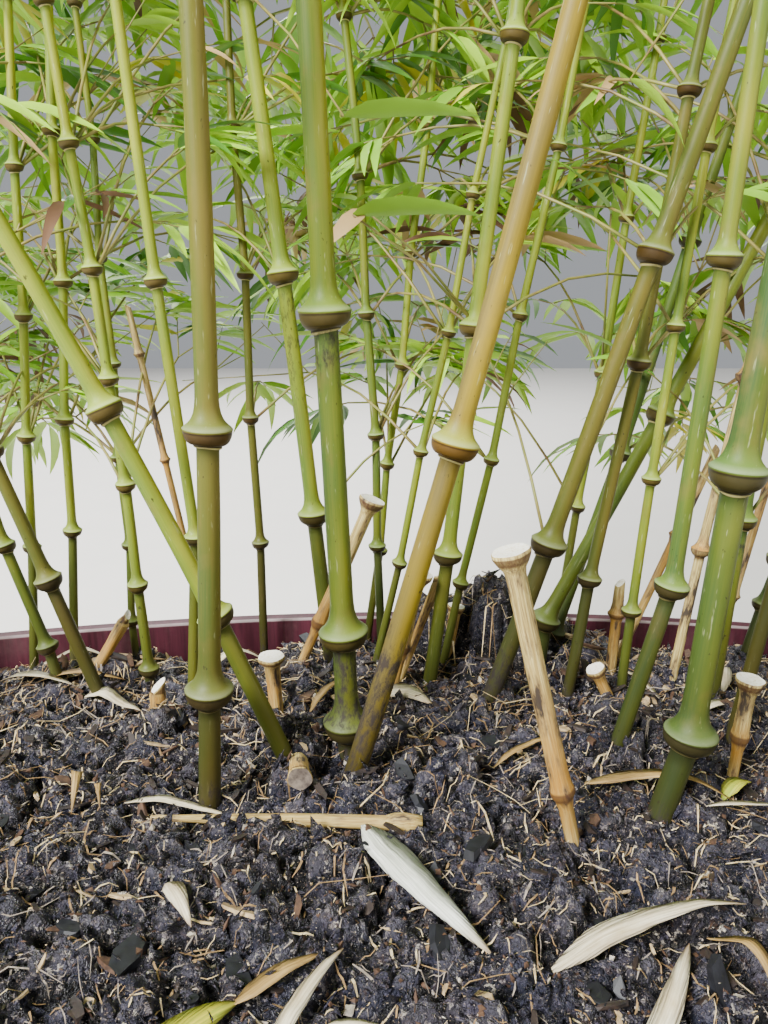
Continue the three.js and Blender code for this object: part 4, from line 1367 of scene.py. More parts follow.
class BAMBOO_OT_stubs(bpy.types.Operator):
    """Build the cut-off dead stubs with their mushroomed cut nodes"""

    bl_idname = "bamboo.stubs"
    bl_label = "Stubs"

    def execute(self, context):
        for name, foot, lean, thick, node, tall, cut in STUBS:
            radius, half_cut = thick / 2, cut / 2
            profile = [
                (-0.02, radius * 0.75, 0), (0.0, radius * 0.72, 0), (node - 0.009, radius * 0.74, 0),
                (node - 0.004, radius * 0.95, 0.5), (node - 0.001, radius * 1.25, 0.8),
                (node + 0.001, radius * 1.25, 0.6), (node + 0.004, radius * 1.06, 0),
                (node + 0.012, radius, 0), (tall * 0.6, radius * 0.95, 0),
                (tall - 0.011, radius * 0.98, 0), (tall - 0.008, radius * 1.1, 0),
                (tall - 0.0055, radius * 1.45, 0.5), (tall - 0.003, half_cut * 0.94, 0.8),
                (tall - 0.0016, half_cut, 0.6), (tall - 0.0004, half_cut, 0), (tall, half_cut * 0.95, 0),
            ]
            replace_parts(turned_stub(name + "_dead", foot, leaning(lean), profile), name)
        return {"FINISHED"}


def cut_remnant(name, foot, axis, thick, tall, cut, tilt=0.0, lift=0.0):
    """A short dead end of a cane, with a cut node or a slanting cut."""
    radius, half_cut = thick / 2, cut / 2
    profile = [
        (-0.02, radius * 0.9, 0), (tall * 0.5, radius * 0.95, 0), (tall - 0.006, radius * 1.05, 0),
        (tall - 0.003, half_cut * 0.93, 0.7), (tall - 0.0012, half_cut, 0.5), (tall, half_cut * 0.94, 0),
    ]
    return turned_stub(name, foot, axis, profile, tilt, 0.6, lift=lift)


def dead_cane(name, foot, lean, thick, tall, nodes):
    """A thin dead cane, snapped off at its top."""
    profile = [(-0.02, thick / 2, 0)]
    for node in nodes:
        profile += [
            (node - 0.9 * thick, thick * 0.48, 0), (node - 0.4 * thick, thick * 0.62, 0.6),
            (node - 0.08 * thick, thick * 0.86, 0.85), (node, thick * 0.86, 0.6),
            (node + 0.3 * thick, thick * 0.66, 0), (node + thick, thick * 0.52, 0),
        ]
    profile += [(tall * 0.98, thick * 0.46, 0), (tall, thick * 0.40, 0)]
    return turned_stub(name, foot, leaning(lean), profile, 0.8, 0.5, 16)


# Short remnants: foot, lean in degrees, thickness, height, width of the cut and its tilt
REMNANTS = {
    "remnant_disc_left": ((-0.106, 0.064), -3, 0.0095, 0.038, 0.0170, 0),
    "remnant_disc_middle": ((0.004, 0.134), 8, 0.0075, 0.041, 0.0120, 0),
    "remnant_slant_left": ((-0.177, 0.057), 4, 0.0090, 0.022, 0.0090, 1.1),
    "remnant_disc_small": ((-0.118, 0.070), -20, 0.0060, 0.018, 0.0090, 0),
    "remnant_split_left": ((-0.237, 0.121), 32, 0.0085, 0.040, 0.0050, 1.0),
    "remnant_lean_middle": ((-0.030, 0.104), 19, 0.0055, 0.075, 0.0060, 0.8),
    "remnant_cone_right": ((0.103, 0.083), -26, 0.0080, 0.020, 0.0130, 0),
}

# Thin dead canes: foot, lean in degrees, thickness, height and nodes
DEAD_CANES = {
    "dead_cane_right_edge": ((0.183, 0.118), 9, 0.0055, 0.330, (0.055, 0.150, 0.250)),
    "dead_cane_right_back": ((0.127, 0.140), 19, 0.0060, 0.150, (0.090,)),
    "dead_cane_right_low": ((0.118, 0.128), 1, 0.0070, 0.060, (0.038,)),
    "dead_cane_left_back": ((-0.165, 0.150), -9, 0.0045, 0.240, (0.060, 0.140, 0.210)),
}


class BAMBOO_OT_remnants(bpy.types.Operator):
    """Build the smaller dead remnants and thin dead canes between the living ones"""

    bl_idname = "bamboo.remnants"
    bl_label = "Remnants"

    def execute(self, context):
        for name, (foot, lean, *sizes) in REMNANTS.items():
            cut_remnant(name, foot, leaning(lean), *sizes)
        root_end = cut_remnant(
            "remnant_root_end", (-0.084, -0.010), (0.15, -1, 0.3), 0.0110, 0.008, 0.0125, 0.1, 0.008)
        root_end.data.materials[1] = litter("root_end")[0]
        for name, row in DEAD_CANES.items():
            dead_cane(name, *row)
        return {"FINISHED"}


# Leaves lying on the soil: both ends, width, kind, how high the middle arches, and a sideways bow
FALLEN_LEAVES = [
    ((-0.050, -0.036), (0.001, -0.119), 0.0160, "silver_highlit", 0.004, -0.05),
    ((0.024, -0.124), (0.110, -0.096), 0.0095, "pale", 0.006, 0.06),
    ((0.046, -0.160), (0.083, -0.107), 0.0100, "pale", 0.004, -0.03),
    ((-0.121, -0.168), (-0.094, -0.135), 0.0150, "yellow", 0.004, 0.05),
    ((-0.095, -0.136), (-0.064, -0.115), 0.0075, "tan", 0.002, 0),
    ((-0.080, -0.160), (-0.056, -0.112), 0.0075, "pale", 0.004, 0.03),
    ((0.090, -0.107), (0.100, -0.150), 0.0050, "tan", 0.004, 0.16),
    ((0.112, -0.112), (0.155, -0.104), 0.0070, "pale", 0.003, 0),
    ((-0.060, -0.145), (-0.040, -0.143), 0.0040, "pale", 0.002, 0),
    ((0.066, -0.006), (0.140, -0.030), 0.0075, "tan", 0.007, 0.05),
    ((0.120, -0.030), (0.165, -0.034), 0.0045, "pale", 0.005, 0),
    ((0.134, -0.018), (0.154, -0.006), 0.0100, "yellow", 0.006, 0),
    ((-0.203, -0.004), (-0.196, -0.030), 0.0060, "tan", 0.012, 0.1),
    ((-0.190, -0.008), (-0.183, -0.026), 0.0035, "tan", 0.008, 0),
    ((-0.134, -0.080), (-0.119, -0.101), 0.0085, "pale", 0.003, 0),
    ((-0.048, 0.082), (-0.010, 0.066), 0.0150, "pale", 0.004, 0.05),
    ((-0.300, 0.110), (-0.240, 0.092), 0.0130, "pale", 0.006, 0),
    ((-0.290, 0.140), (-0.235, 0.150), 0.0110, "pale", 0.008, 0.06),
    ((-0.250, 0.120), (-0.200, 0.158), 0.0090, "tan", 0.006, 0),
    ((-0.310, 0.060), (-0.270, 0.010), 0.0100, "tan", 0.006, 0.04),
    ((-0.240, -0.070), (-0.200, -0.120), 0.0110, "pale", 0.005, 0),
    ((0.200, -0.060), (0.250, -0.110), 0.0120, "tan", 0.006, -0.06),
    ((0.290, 0.000), (0.340, 0.030), 0.0100, "pale", 0.005, 0),
    ((-0.360, -0.030), (-0.330, -0.080), 0.0110, "pale", 0.006, 0.05),
    ((0.180, 0.090), (0.200, 0.135), 0.0090, "pale", 0.005, 0),
    ((0.190, 0.030), (0.225, 0.006), 0.0080, "tan", 0.005, 0.08),
    ((0.020, 0.010), (0.060, 0.030), 0.0050, "tan", 0.003, 0.05),
    ((-0.174, -0.017), (-0.112, -0.028), 0.0050, "pale", 0.004, 0.02),
    ((-0.230, 0.080), (-0.190, 0.066), 0.0085, "pale", 0.005, 0.05),
    ((-0.330, 0.120), (-0.290, 0.085), 0.0100, "pale", 0.006, -0.05),
    ((-0.270, 0.100), (-0.215, 0.112), 0.0075, "tan", 0.008, 0),
    ((-0.160, 0.120), (-0.120, 0.150), 0.0080, "pale", 0.005, 0.06),
    ((0.150, 0.060), (0.185, 0.072), 0.0070, "pale", 0.006, 0),
    ((0.205, 0.080), (0.245, 0.110), 0.0085, "pale", 0.006, 0.05),
    ((0.215, 0.040), (0.262, 0.062), 0.0060, "tan", 0.007, -0.04),
    ((0.140, 0.088), (0.120, 0.125), 0.0065, "pale", 0.005, 0.04),
    ((-0.085, 0.060), (-0.060, 0.105), 0.0065, "tan", 0.004, 0.05),
]
# The silver leaf's near-white light tone is partly its own pale colour and partly a painted highlight
FALLEN_TONES = {
    "pale": ("leaf_bleached", "#c2ae84", "#f2e8cc", "#7e5f3c"),
    "silver_highlit": ("leaf_silvered_highlit", "#c6cab6", "#fafaf0", "#9a7c50"),
    "tan": ("leaf_tan", "#87672f", "#c2a162", "#5f4426"),
    "yellow": ("leaf_yellowed", "#98b030", "#e0cc36", "#8a7a35"),
}

# A fallen leaf's loops, and each loop's points: how far across and how far up, in half widths
LEAF_ROWS = 26
LEAF_SECTION = ((-1, 0.22), (-0.5, 0.02), (0, 0.06), (0.5, 0.02), (1, 0.22), (0, -0.03))
LEAF_FOOTING = (-0.004, 0, 0.004)
BLADE_SPACING = 7.0

# The dead stick: where it lies, and its loops as shares of its length and of its thickness
STICK_LINE = ((-0.166, -0.024), (-0.021, -0.034))
STICK_LOOPS = (
    (0, 0.30), (0.12, 0.45), (0.3, 0.72), (0.55, 0.95), (0.8, 1.0), (0.875, 1.05), (0.905, 1.45),
    (0.935, 1.55), (0.965, 1.3), (1.0, 1.05),
)
STICK_SIDES = 12


class LitterSettings(bpy.types.PropertyGroup):
    """What lies on the soil."""

    straws: IntProperty(name="Straws", description="How many straws and fibres lie about", default=6600)
    chips: IntProperty(name="Chips", description="How many bark chips lie about", default=1300)
    stick_thick: FloatProperty(
        name="Stick", description="Thickness of the dead stick", default=0.0070, unit="LENGTH")
    seed: IntProperty(name="Seed", description="Starts the scatter", default=23)


class BAMBOO_OT_fallen(bpy.types.Operator):
    """Lay dead leaves and a dead stick on the soil"""

    bl_idname = "bamboo.fallen"
    bl_label = "Fallen leaves"

    def execute(self, context):
        rng = np.random.default_rng(context.scene.bamboo_litter.seed + 5)
        kinds = list(FALLEN_TONES)
        faces = tube_faces(LEAF_ROWS, len(LEAF_SECTION))
        leaves, blade = Gathered(), []
        for number, (start, end, width, kind, arch, bow) in enumerate(FALLEN_LEAVES, 1):
            points, places = self.leaf_rows(rng, np.array(start), np.array(end), width, arch, bow)
            blade.append(places + (0, 0, BLADE_SPACING * number))
            leaves.take(points, faces, kinds.index(kind))
        materials = [
            material_named(name, dead_leaf_material, *tones) for name, *tones in FALLEN_TONES.values()
        ]
        leaves.piece("fallen_leaves", materials, "leaves", blade=np.vstack(blade))
        self.stick(context.scene.bamboo_litter.stick_thick)
        return {"FINISHED"}

    def leaf_rows(self, rng, start, end, width, arch, bow):
        """The points of a thin lance-shaped leaf with a raised midrib, and their places on it."""
        along = end - start
        long = float(np.linalg.norm(along))
        normal = np.array((-along[1], along[0])) / long
        shares = np.linspace(0, 1, LEAF_ROWS)
        spine = [start + along * s + normal * bow * long * math.sin(math.pi * s) for s in shares]
        rest = [max(ground(x + dx, y + dy) for dx in LEAF_FOOTING for dy in LEAF_FOOTING) for x, y in spine]
        level = np.convolve(np.pad(rest, 4, mode="edge"), np.ones(9) / 9, "valid")
        twist = rng.uniform(-0.25, 0.25)
        turn = rng.uniform(-0.7, 0.7)
        points, places = [], []
        for share, (x, y), z in zip(shares, spine, level):
            half = width / 2 * min(1, (share + 0.03) / 0.22) ** 0.8 * min(1, (1.015 - share) / 0.6) ** 0.75
            roll = twist + turn * (share - 0.5)
            side = np.array((*normal * math.cos(roll), math.sin(roll)))
            centre = np.array((x, y, z + 0.0015 + arch * math.sin(math.pi * share)))
            for across, lift in LEAF_SECTION:
                points.append(centre + side * half * across + (0, 0, half * lift))
                places.append((half * across, share, long * share))
        return np.array(points), np.array(places)

    def stick(self, thick):
        """A dead twig lying on the compost, frayed at one end and broken off past a joint."""
        start, end = np.array(STICK_LINE)
        spots = [start + (end - start) * share for share in (0.2, 0.4, 0.6, 0.8)]
        level = max(ground(*spot) for spot in spots) + thick * 0.35
        angles = np.arange(STICK_SIDES) * math.tau / STICK_SIDES
        points, culm = [], []
        for number, (share, wide) in enumerate(STICK_LOOPS):
            radius = thick / 2 * wide
            x, y = start + (end - start) * share
            height = level + 0.004 * (share - 0.5)
            uneven = radius * (1 + 0.08 * np.cos(3 * angles + number))
            flat = np.full(STICK_SIDES, x)
            points.append(np.stack([flat, y + uneven * np.cos(angles), height + uneven * np.sin(angles)], 1))
            culm.append(round_loop(angles, radius, flat + 9))
        mesh_piece(
            "dead_stick", np.vstack(points), tube_faces(len(STICK_LOOPS), STICK_SIDES),
            [material_named("bamboo_culm_dead", dead_culm_material)], "cane_dry",
            culm=np.vstack(culm), zone=[(0.25, 0, 0)] * (len(STICK_LOOPS) * STICK_SIDES))


class FoliageSettings(bpy.types.PropertyGroup):
    """Leaves and branchlets."""

    leaf_long: FloatProperty(
        name="Leaf length", description="Length of a usual leaf", default=0.086, unit="LENGTH")
    leaf_wide: FloatProperty(
        name="Leaf width", description="Width of a usual leaf", default=0.0112, unit="LENGTH")
    leaves_per_spray: IntProperty(
        name="Leaves per spray", description="How many leaves a branchlet carries", default=8)
    spray_gap: FloatProperty(
        name="Spray gap", description="Distance between branchlets along a twig",
        default=0.042, unit="LENGTH")


# A growing leaf: how far along each loop stands, and its share of the leaf's width
LEAF_SHAPE = ((0.0, 0.10), (0.05, 0.42), (0.18, 0.88), (0.40, 1.0), (0.66, 0.72), (0.86, 0.36))
LEAF_FOLD = 0.28
TWIG_SIDES = 5


def swung(direction, axis, degrees):
    """A copy of a direction, turned about an axis."""
    copy = direction.copy()
    copy.rotate(Quaternion(axis, math.radians(degrees)))
    return copy


class Foliage:
    """Leaves and twigs gathered for one pair of joined pieces."""

    def __init__(self, seed):
        self.dice = random.Random(seed)
        self.leaves = []
        self.kinds = []
        self.rods = []

    def kind(self):
        """The number of the leaf colour that is dealt next."""
        roll = self.dice.random()
        return next(i for i, row in enumerate(LEAF_TONES) if roll <= row[3])

    def leaf(self, root, way, face, long, wide, bend, kind):
        """Gather one leaf."""
        self.leaves.append((*root, *way, *face, long, wide, bend))
        self.kinds.append(kind)

    def rod(self, path, start_radius, end_radius):
        """Gather one twig."""
        self.rods.append((path, start_radius, end_radius))

    def spray(self, root, way, reach, settings, radius=0.0009, fewer=0, scale=1.0):
        """A branchlet with leaves set left and right along it and one at its tip."""
        dice = self.dice
        side = way.cross(UP)
        if side.length < 0.1:
            side = way.cross(Vector((1, 0, 0)))
        side.normalize()
        face = side.cross(way).normalized()
        size = dice.uniform(0.82, 1.12) * scale
        leaf_long = min(settings.leaf_long * size, reach * 0.72)
        stalk = reach - leaf_long * 0.95
        sag = Vector((0, 0, -0.10 * stalk))
        path = [root + way * (stalk * s) + sag * s * s for s in (0, 0.5, 1)]
        self.rod(path, radius, radius * 0.6)
        kind = self.kind()
        count = settings.leaves_per_spray - fewer
        for i in range(count):
            share = 0.30 + 0.70 * (i + 1) / count
            base = root + way * (stalk * share) + sag * share * share
            last = i == count - 1
            turn = 0 if last else (1 if i % 2 else -1) * dice.uniform(28, 58)
            leaf_way = swung(way, face, turn)
            leaf_way.z -= dice.uniform(0.10, 0.45)
            leaf_way.normalize()
            leaf_side = leaf_way.cross(UP)
            leaf_face = (leaf_side.cross(leaf_way) if leaf_side.length > 0.05 else face).normalized()
            leaf_face = swung(leaf_face, leaf_way, dice.uniform(-38, 38))
            long = leaf_long * (1 if last else dice.uniform(0.62, 1.0))
            wide = settings.leaf_wide * size * dice.uniform(0.8, 1.15) * (long / leaf_long) ** 0.5
            own = kind if dice.random() < 0.9 else self.kind()
            self.leaf(base, leaf_way, leaf_face, long, wide, dice.uniform(0.25, 0.95), own)

    def leaf_arrays(self):
        """All leaves as one set of points, faces and material numbers."""
        data = np.array(self.leaves)
        root, way, face = data[:, 0:3], data[:, 3:6], data[:, 6:9]
        long, wide, bend = data[:, 9:10], data[:, 10:11], data[:, 11:12]
        side = np.cross(way, face)
        columns = []
        for at, width in [*LEAF_SHAPE, (1.0, 0.0)]:
            angle = bend * at
            ahead = long * np.sin(angle) / bend
            drop = long * (1 - np.cos(angle)) / bend
            spine = root + way * ahead - face * drop
            lift = face * (wide / 2 * width * LEAF_FOLD)
            across = side * (wide / 2 * width)
            columns += [spine - across + lift, spine, spine + across + lift] if width else [spine]
        points = np.stack(columns, axis=1)
        tip = len(columns) - 1
        pattern = []
        for a in range(0, tip - 3, 3):
            pattern += [(a, a + 1, a + 4, a + 3), (a + 1, a + 2, a + 5, a + 4)]
        pattern += [(tip - 3, tip - 2, tip), (tip - 2, tip - 1, tip)]
        starts = range(0, len(data) * len(columns), len(columns))
        faces = [tuple(v + start for v in face) for start in starts for face in pattern]
        return points.reshape(-1, 3), faces, np.repeat(self.kinds, len(pattern))

    def rod_arrays(self):
        """All twigs as one set of points and faces."""
        angles = [math.tau * k / TWIG_SIDES for k in range(TWIG_SIDES)]
        points, faces = [], []
        for path, thick, thin in self.rods:
            count = len(path)
            faces += tube_faces(count, TWIG_SIDES, len(points))
            for i, spot in enumerate(path):
                ahead = path[min(i + 1, count - 1)] - path[max(i - 1, 0)]
                across = ahead.cross(UP)
                if across.length < 1e-6:
                    across = Vector((1, 0, 0))
                across.normalize()
                other = ahead.normalized().cross(across)
                radius = thick + (thin - thick) * i / (count - 1)
                for angle in angles:
                    points.append(spot + radius * (across * math.cos(angle) + other * math.sin(angle)))
        return points, faces

    def pieces(self, name):
        """Make the joined leaves and the joined twigs, and give back the leaves."""
        points, faces, numbers = self.leaf_arrays()
        leaves = mesh_piece(name + "_leaves", points, faces, leaf_materials(), "leaves", numbers)
        points, faces = self.rod_arrays()
        twig = material_named("bamboo_branchlet", twig_material)
        mesh_piece(name + "_twigs", points, faces, [twig], "leaves")
        return leaves


def heading(toward, rise):
    """The direction that points so many degrees round from +X and so many degrees up."""
    level = math.cos(math.radians(rise))
    return Vector((
        level * math.cos(math.radians(toward)),
        level * math.sin(math.radians(toward)),
        math.sin(math.radians(rise)),
    ))


class Mass:
    """One mass of foliage: its stem, its own space, and the twigs that the shared rule gives it."""

    def __init__(self, name, cane_name, at, toward, rise, reach):
        self.name = name
        self.reach = reach
        cane = CANE_BY_NAME[cane_name]
        node = min(cane.nodes, key=lambda height: abs(height - at))
        ring = cane.radius(node) * (RING_SHARE if node < RINGED_UP_TO else 1)
        self.start = cane.point(node) + heading(toward, 0) * (ring + STEM_RADIUS + CLEARANCE)
        self.attached = cane.point(node)
        way = heading(toward, rise)
        self.bend = self.start + way * reach / 2
        self.end = self.start + way * reach - Vector((0, 0, STEM_SAG * reach))
        self.middle = self.stem_point(MIDDLE_ALONG)

    def stem_point(self, along):
        """The stem's middle at a share of its length."""
        rest = 1 - along
        return self.start * rest ** 2 + self.bend * (2 * rest * along) + self.end * along ** 2

    def stem_way(self, along):
        """The stem's direction at a share of its length."""
        return ((self.bend - self.start) * (1 - along) + (self.end - self.bend) * along).normalized()

    def in_own_space(self, point, margin):
        """Whether a point is nearer to this mass's middle than to any other's."""
        own = (point - self.middle).length_squared
        for other in ALL_MASSES:
            if other is self:
                continue
            apart = (self.middle - other.middle).length
            if ((point - other.middle).length_squared - own) / (2 * apart) <= margin:
                return False
        return True

    def has_room(self, point, margin):
        """Whether a point is over the pot, in the mass's own space and clear of the canes."""
        over_pot = point.z - margin > POT_HEIGHT
        return over_pot and self.in_own_space(point, margin) and clear_of_limbs(point, margin)

    def twig_has_room(self, root, way, long):
        """Whether a twig has room all along."""
        spots = [root + way * (share * long) for share in TWIG_TESTS]
        return all(self.has_room(spot, TWIG_RADIUS + ROOM) for spot in spots)

    def spray_has_room(self, root, way):
        """Whether a spray of the solids' shape has room all along."""
        for share in SPRAY_TESTS:
            if share < SPRAY_WIDEST_AT:
                slope = share / SPRAY_WIDEST_AT
            else:
                slope = (1 - share) / (1 - SPRAY_WIDEST_AT)
            if not self.has_room(root + way * (share * SPRAY_LONG), SPRAY_HALF_WIDE * slope + ROOM):
                return False
        return True

    def fan(self, end, way):
        """The directions of the sprays at a twig's end that have room."""
        face = way.cross(UP).normalized().cross(way)
        root = end - way * SPRAY_ROOT
        found = []
        for angle in FAN_ANGLES:
            spray_way = swung(way, face, angle)
            spray_way.z -= SPRAY_DROOP
            spray_way.normalize()
            if self.spray_has_room(root, spray_way):
                found.append((root, spray_way))
        return found

    def twigs(self, seed):
        """Root, direction, length and sprays of each twig, in the same order as in the solids."""
        roll = seeded(seed)
        for i in range(TWIGS_PER_STEM):
            along = FIRST_TWIG_AT + (1 - FIRST_TWIG_AT) * i / (TWIGS_PER_STEM - 1)
            root, axis = self.stem_point(along), self.stem_way(along)
            around = GOLDEN_ANGLE * i + TWIG_SCATTER * roll()
            across = swung(axis.cross(UP).normalized(), axis, around)
            splay = math.radians(LAST_TWIG_SPLAY if i == TWIGS_PER_STEM - 1 else TWIG_SPLAY)
            way = axis * math.cos(splay) + across * math.sin(splay)
            full = self.reach * TWIG_SHARE * (1 - TWIG_SHORTENING * along) * between(LENGTH_SCATTER, roll)
            for share in TRIES:
                long = full * share
                sprays = self.fan(root + way * long, way) if self.twig_has_room(root, way, long) else []
                if len(sprays) >= FEWEST_SPRAYS:
                    yield root, way, long, sprays
                    break


def clear_of_limbs(point, margin):
    """Whether a point is clear of every cane."""
    for cane in ALL_CANES:
        height = point.z - SOIL_TOP
        if height > cane.tall + margin:
            continue
        axis = cane.point(min(max(height, 0), cane.tall))
        girth = cane.radius(height) * (RING_SHARE if height < RINGED_UP_TO + LONGEST_INTERNODE else 1)
        if math.hypot(point.x - axis.x, point.y - axis.y) <= girth + margin:
            return False
    return True


ALL_MASSES = [Mass(*row) for row in MASSES]


# How finely a stem of the foliage follows its curve, how thin it ends, and where a twig's points lie
STEM_STEPS = 10
STEM_TIP_RADIUS = 0.0014
TWIG_STEPS = (0, 0.25, 0.5, 0.75, 1)
# A side spray's room is tested at its tip and halfway
SIDE_SPRAY_TESTS = (1, 0.5)


class BAMBOO_OT_foliage(bpy.types.Operator):
    """Grow every mass of foliage, from its stem to its finest leaves"""

    bl_idname = "bamboo.foliage"
    bl_label = "Foliage"

    def execute(self, context):
        settings = context.scene.bamboo_foliage
        for number, mass in enumerate(ALL_MASSES):
            foliage = Foliage(500 + number)
            stem = [mass.stem_point(step / STEM_STEPS) for step in range(STEM_STEPS + 1)]
            foliage.rod([mass.attached] + stem, STEM_RADIUS, STEM_TIP_RADIUS)
            for root, way, long, sprays in mass.twigs(FIRST_SEED + SEED_STEP * number):
                self.twig(foliage, mass, root, way, long, settings)
                for spray_root, spray_way in sprays:
                    foliage.spray(spray_root, spray_way, SPRAY_LONG, settings)
            leaves = foliage.pieces(mass.name)
            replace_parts(leaves, mass.name)
        return {"FINISHED"}

    def twig(self, foliage, mass, root, way, long, settings):
        """A twig with finer sprays along it, left and right in turn."""
        dice = foliage.dice
        lift = Vector((0, 0, 0.04 * long))
        path = [root + way * (long * s) + lift * math.sin(math.pi * s) for s in TWIG_STEPS]
        foliage.rod(path, TWIG_RADIUS * 0.8, TWIG_RADIUS * 0.5)
        face = way.cross(UP).normalized().cross(way)
        count = int(long / settings.spray_gap)
        for i in range(count):
            share = (i + 0.8) / (count + 0.6)
            base = root + way * (long * share) + lift * math.sin(math.pi * share)
            side_way = swung(way, face, (1 if i % 2 else -1) * dice.uniform(38, 62))
            side_way = swung(side_way, way, dice.uniform(-50, 50))
            side_way.z -= 0.12
            side_way.normalize()
            reach = dice.uniform(0.105, 0.15)
            if all(mass.has_room(base + side_way * reach * part, ROOM) for part in SIDE_SPRAY_TESTS):
                foliage.spray(base, side_way, reach, settings, 0.0007, 2)


# Sprays on the canes' own nodes: low ones grow behind this line only, and the others start higher up
BEHIND_Y = 0.075
LOW_SPRAYS_START = 0.10
UPPER_SPRAYS_START = 0.62
# Between this height and the upper sprays a node has one branchlet more
THICKER_FROM = 0.25
# How high over the soil the tips of the low and the upper sprays stay
LOW_TIPS_FROM = 0.13
UPPER_TIPS_FROM = 0.03
# The share of branchlets that are dead and bare
BARE_SHARE = 0.16


class BAMBOO_OT_side_sprays(bpy.types.Operator):
    """Grow the small leafy branchlets that stand on the canes' own nodes"""

    bl_idname = "bamboo.side_sprays"
    bl_label = "Side sprays"

    def execute(self, context):
        settings = context.scene.bamboo_foliage
        low, upper = Foliage(71), Foliage(72)
        for cane in ALL_CANES:
            if cane.tone == "dry":
                continue
            for number, height in enumerate(cane.nodes):
                self.at_node(cane, number, height, low, upper, settings)
        low.pieces("low_sprays")
        upper.pieces("upper_sprays")
        return {"FINISHED"}

    def at_node(self, cane, number, height, low, upper, settings):
        """The branchlets from one node. Low ones grow only behind the clump."""
        behind = cane.foot[1] > BEHIND_Y
        if height < (LOW_SPRAYS_START if behind else UPPER_SPRAYS_START):
            return
        foliage = low if height < UPPER_SPRAYS_START else upper
        dice = foliage.dice
        for _ in range(4 if THICKER_FROM < height < UPPER_SPRAYS_START else 3):
            if foliage is low:
                toward = dice.uniform(20, 160)
                rise = dice.uniform(5, 55)
                long = dice.uniform(0.04, 0.15)
            else:
                toward = 180 * (number % 2) + dice.uniform(-75, 75) + 40 * cane.foot[0]
                rise = dice.uniform(25, 60)
                long = dice.uniform(0.06, 0.17)
            way = heading(toward, rise)
            root = cane.point(height) + heading(toward, 0) * cane.radius(height) * 1.2
            end = root + way * long
            tip = end + (way - Vector((0, 0, SPRAY_DROOP))).normalized() * SPRAY_LONG
            lowest = SOIL_TOP + (LOW_TIPS_FROM if foliage is low else UPPER_TIPS_FROM)
            if inside(tip) and inside(end) and tip.z > lowest:
                self.branchlet(foliage, root, end, way, settings, 0.72 if foliage is low else 1)

    def branchlet(self, foliage, root, end, way, settings, scale):
        """A side twig with up to three sprays at its end, or a dead one with bare forks."""
        dice = foliage.dice
        arch = Vector((0, 0, 0.09 * (end - root).length))
        path = [root + (end - root) * s + arch * math.sin(math.pi * s) for s in TWIG_STEPS]
        foliage.rod(path, 0.0011, 0.0007)
        bare = dice.random() < BARE_SHARE
        for angle in (-40, 0, 40):
            if dice.random() < 0.2:
                continue
            spray_way = swung(way, UP, angle + dice.uniform(-12, 12))
            spray_way.z -= SPRAY_DROOP * dice.uniform(0.7, 1.6)
            spray_way.normalize()
            if bare:
                spray_way.z += dice.uniform(0, 0.6)
                foliage.rod([end, end + spray_way * dice.uniform(0.03, 0.09)], 0.0006, 0.0003)
            else:
                reach = dice.uniform(0.10, SPRAY_LONG) * scale
                foliage.spray(end, spray_way, reach, settings, 0.0006, 2, scale)


# Broad leaves among the middle canes: the cane and node they hang from, root, tip, width and kind
BROAD_LEAVES = [
    ("cane_back_left", 0.415, (-0.060, 0.066, 0.698), (0.008, 0.060, 0.709), 0.0125, 1),
    ("cane_middle", 0.230, (-0.056, 0.066, 0.652), (0.010, 0.060, 0.664), 0.0150, 1),
    ("cane_middle", 0.230, (-0.050, 0.072, 0.655), (-0.070, 0.050, 0.640), 0.0100, 4),
    ("cane_right_thick", 0.450, (0.088, 0.090, 0.720), (0.120, 0.060, 0.690), 0.0110, 0),
    ("cane_back_right", 0.195, (0.100, 0.150, 0.660), (0.060, 0.110, 0.700), 0.0120, 1),
]
# Degrees by which each broad leaf is turned about its own length
BROAD_LEAF_TWIST = -34


class BAMBOO_OT_broad_leaves(bpy.types.Operator):
    """Hang the few broad leaves that stand out among the middle canes"""

    bl_idname = "bamboo.broad_leaves"
    bl_label = "Broad leaves"

    def execute(self, context):
        foliage = Foliage(73)
        for name, height, root, tip, wide, kind in BROAD_LEAVES:
            root, tip = Vector(root), Vector(tip)
            way = (tip - root).normalized()
            face = swung(way.cross(UP).cross(way).normalized(), way, BROAD_LEAF_TWIST)
            foliage.leaf(root, way, face, (tip - root).length, wide, 0.5, kind)
            start = CANE_BY_NAME[name].point(height)
            foliage.rod([start, (start + root) / 2 + Vector((0, 0, 0.006)), root], 0.0010, 0.0006)
        foliage.pieces("broad")
        return {"FINISHED"}


# How far from the sides of the solids' box the sprays end
BOX_GAP = 0.01


def inside(point):
    """Whether a point lies within the solids' box."""
    low, high = CAD_BOX
    return all(low[i] + BOX_GAP < point[i] < high[i] - BOX_GAP for i in range(3))


class StageSettings(bpy.types.PropertyGroup):
    """Camera, floor and lights."""

    camera_place: FloatVectorProperty(
        name="Camera", description="Where the camera stands", subtype="TRANSLATION",
        default=(-0.040, -0.357, 0.615))
    camera_pitch: FloatProperty(
        name="Pitch", description="How far the camera looks down",
        default=math.radians(16.1), subtype="ANGLE")
    lens: FloatProperty(name="Lens", description="Focal length in millimetres", default=27.07)
    floor_colour: FloatVectorProperty(
        name="Floor", description="Colour of the floor", subtype="COLOR",
        default=linear("#dcd9d2"), min=0, max=1)


# Name, place, size and power in watts of each light, the point that they face, and the sky's strength
LIGHTS = [
    ("key_light", (-2.4, -2.6, 3.4), 1.5, 720),
    ("fill_light", (3.4, -1.8, 2.2), 2.6, 70),
    ("back_light", (-1.2, 3.4, 3.6), 2.4, 430),
]
LIT_POINT = Vector((0, 0, 1.0))
SKY_STRENGTH = 0.44
# The floor's half width, and its level just under the pot's foot
FLOOR_HALF = 6.0
FLOOR_LEVEL = -0.0005


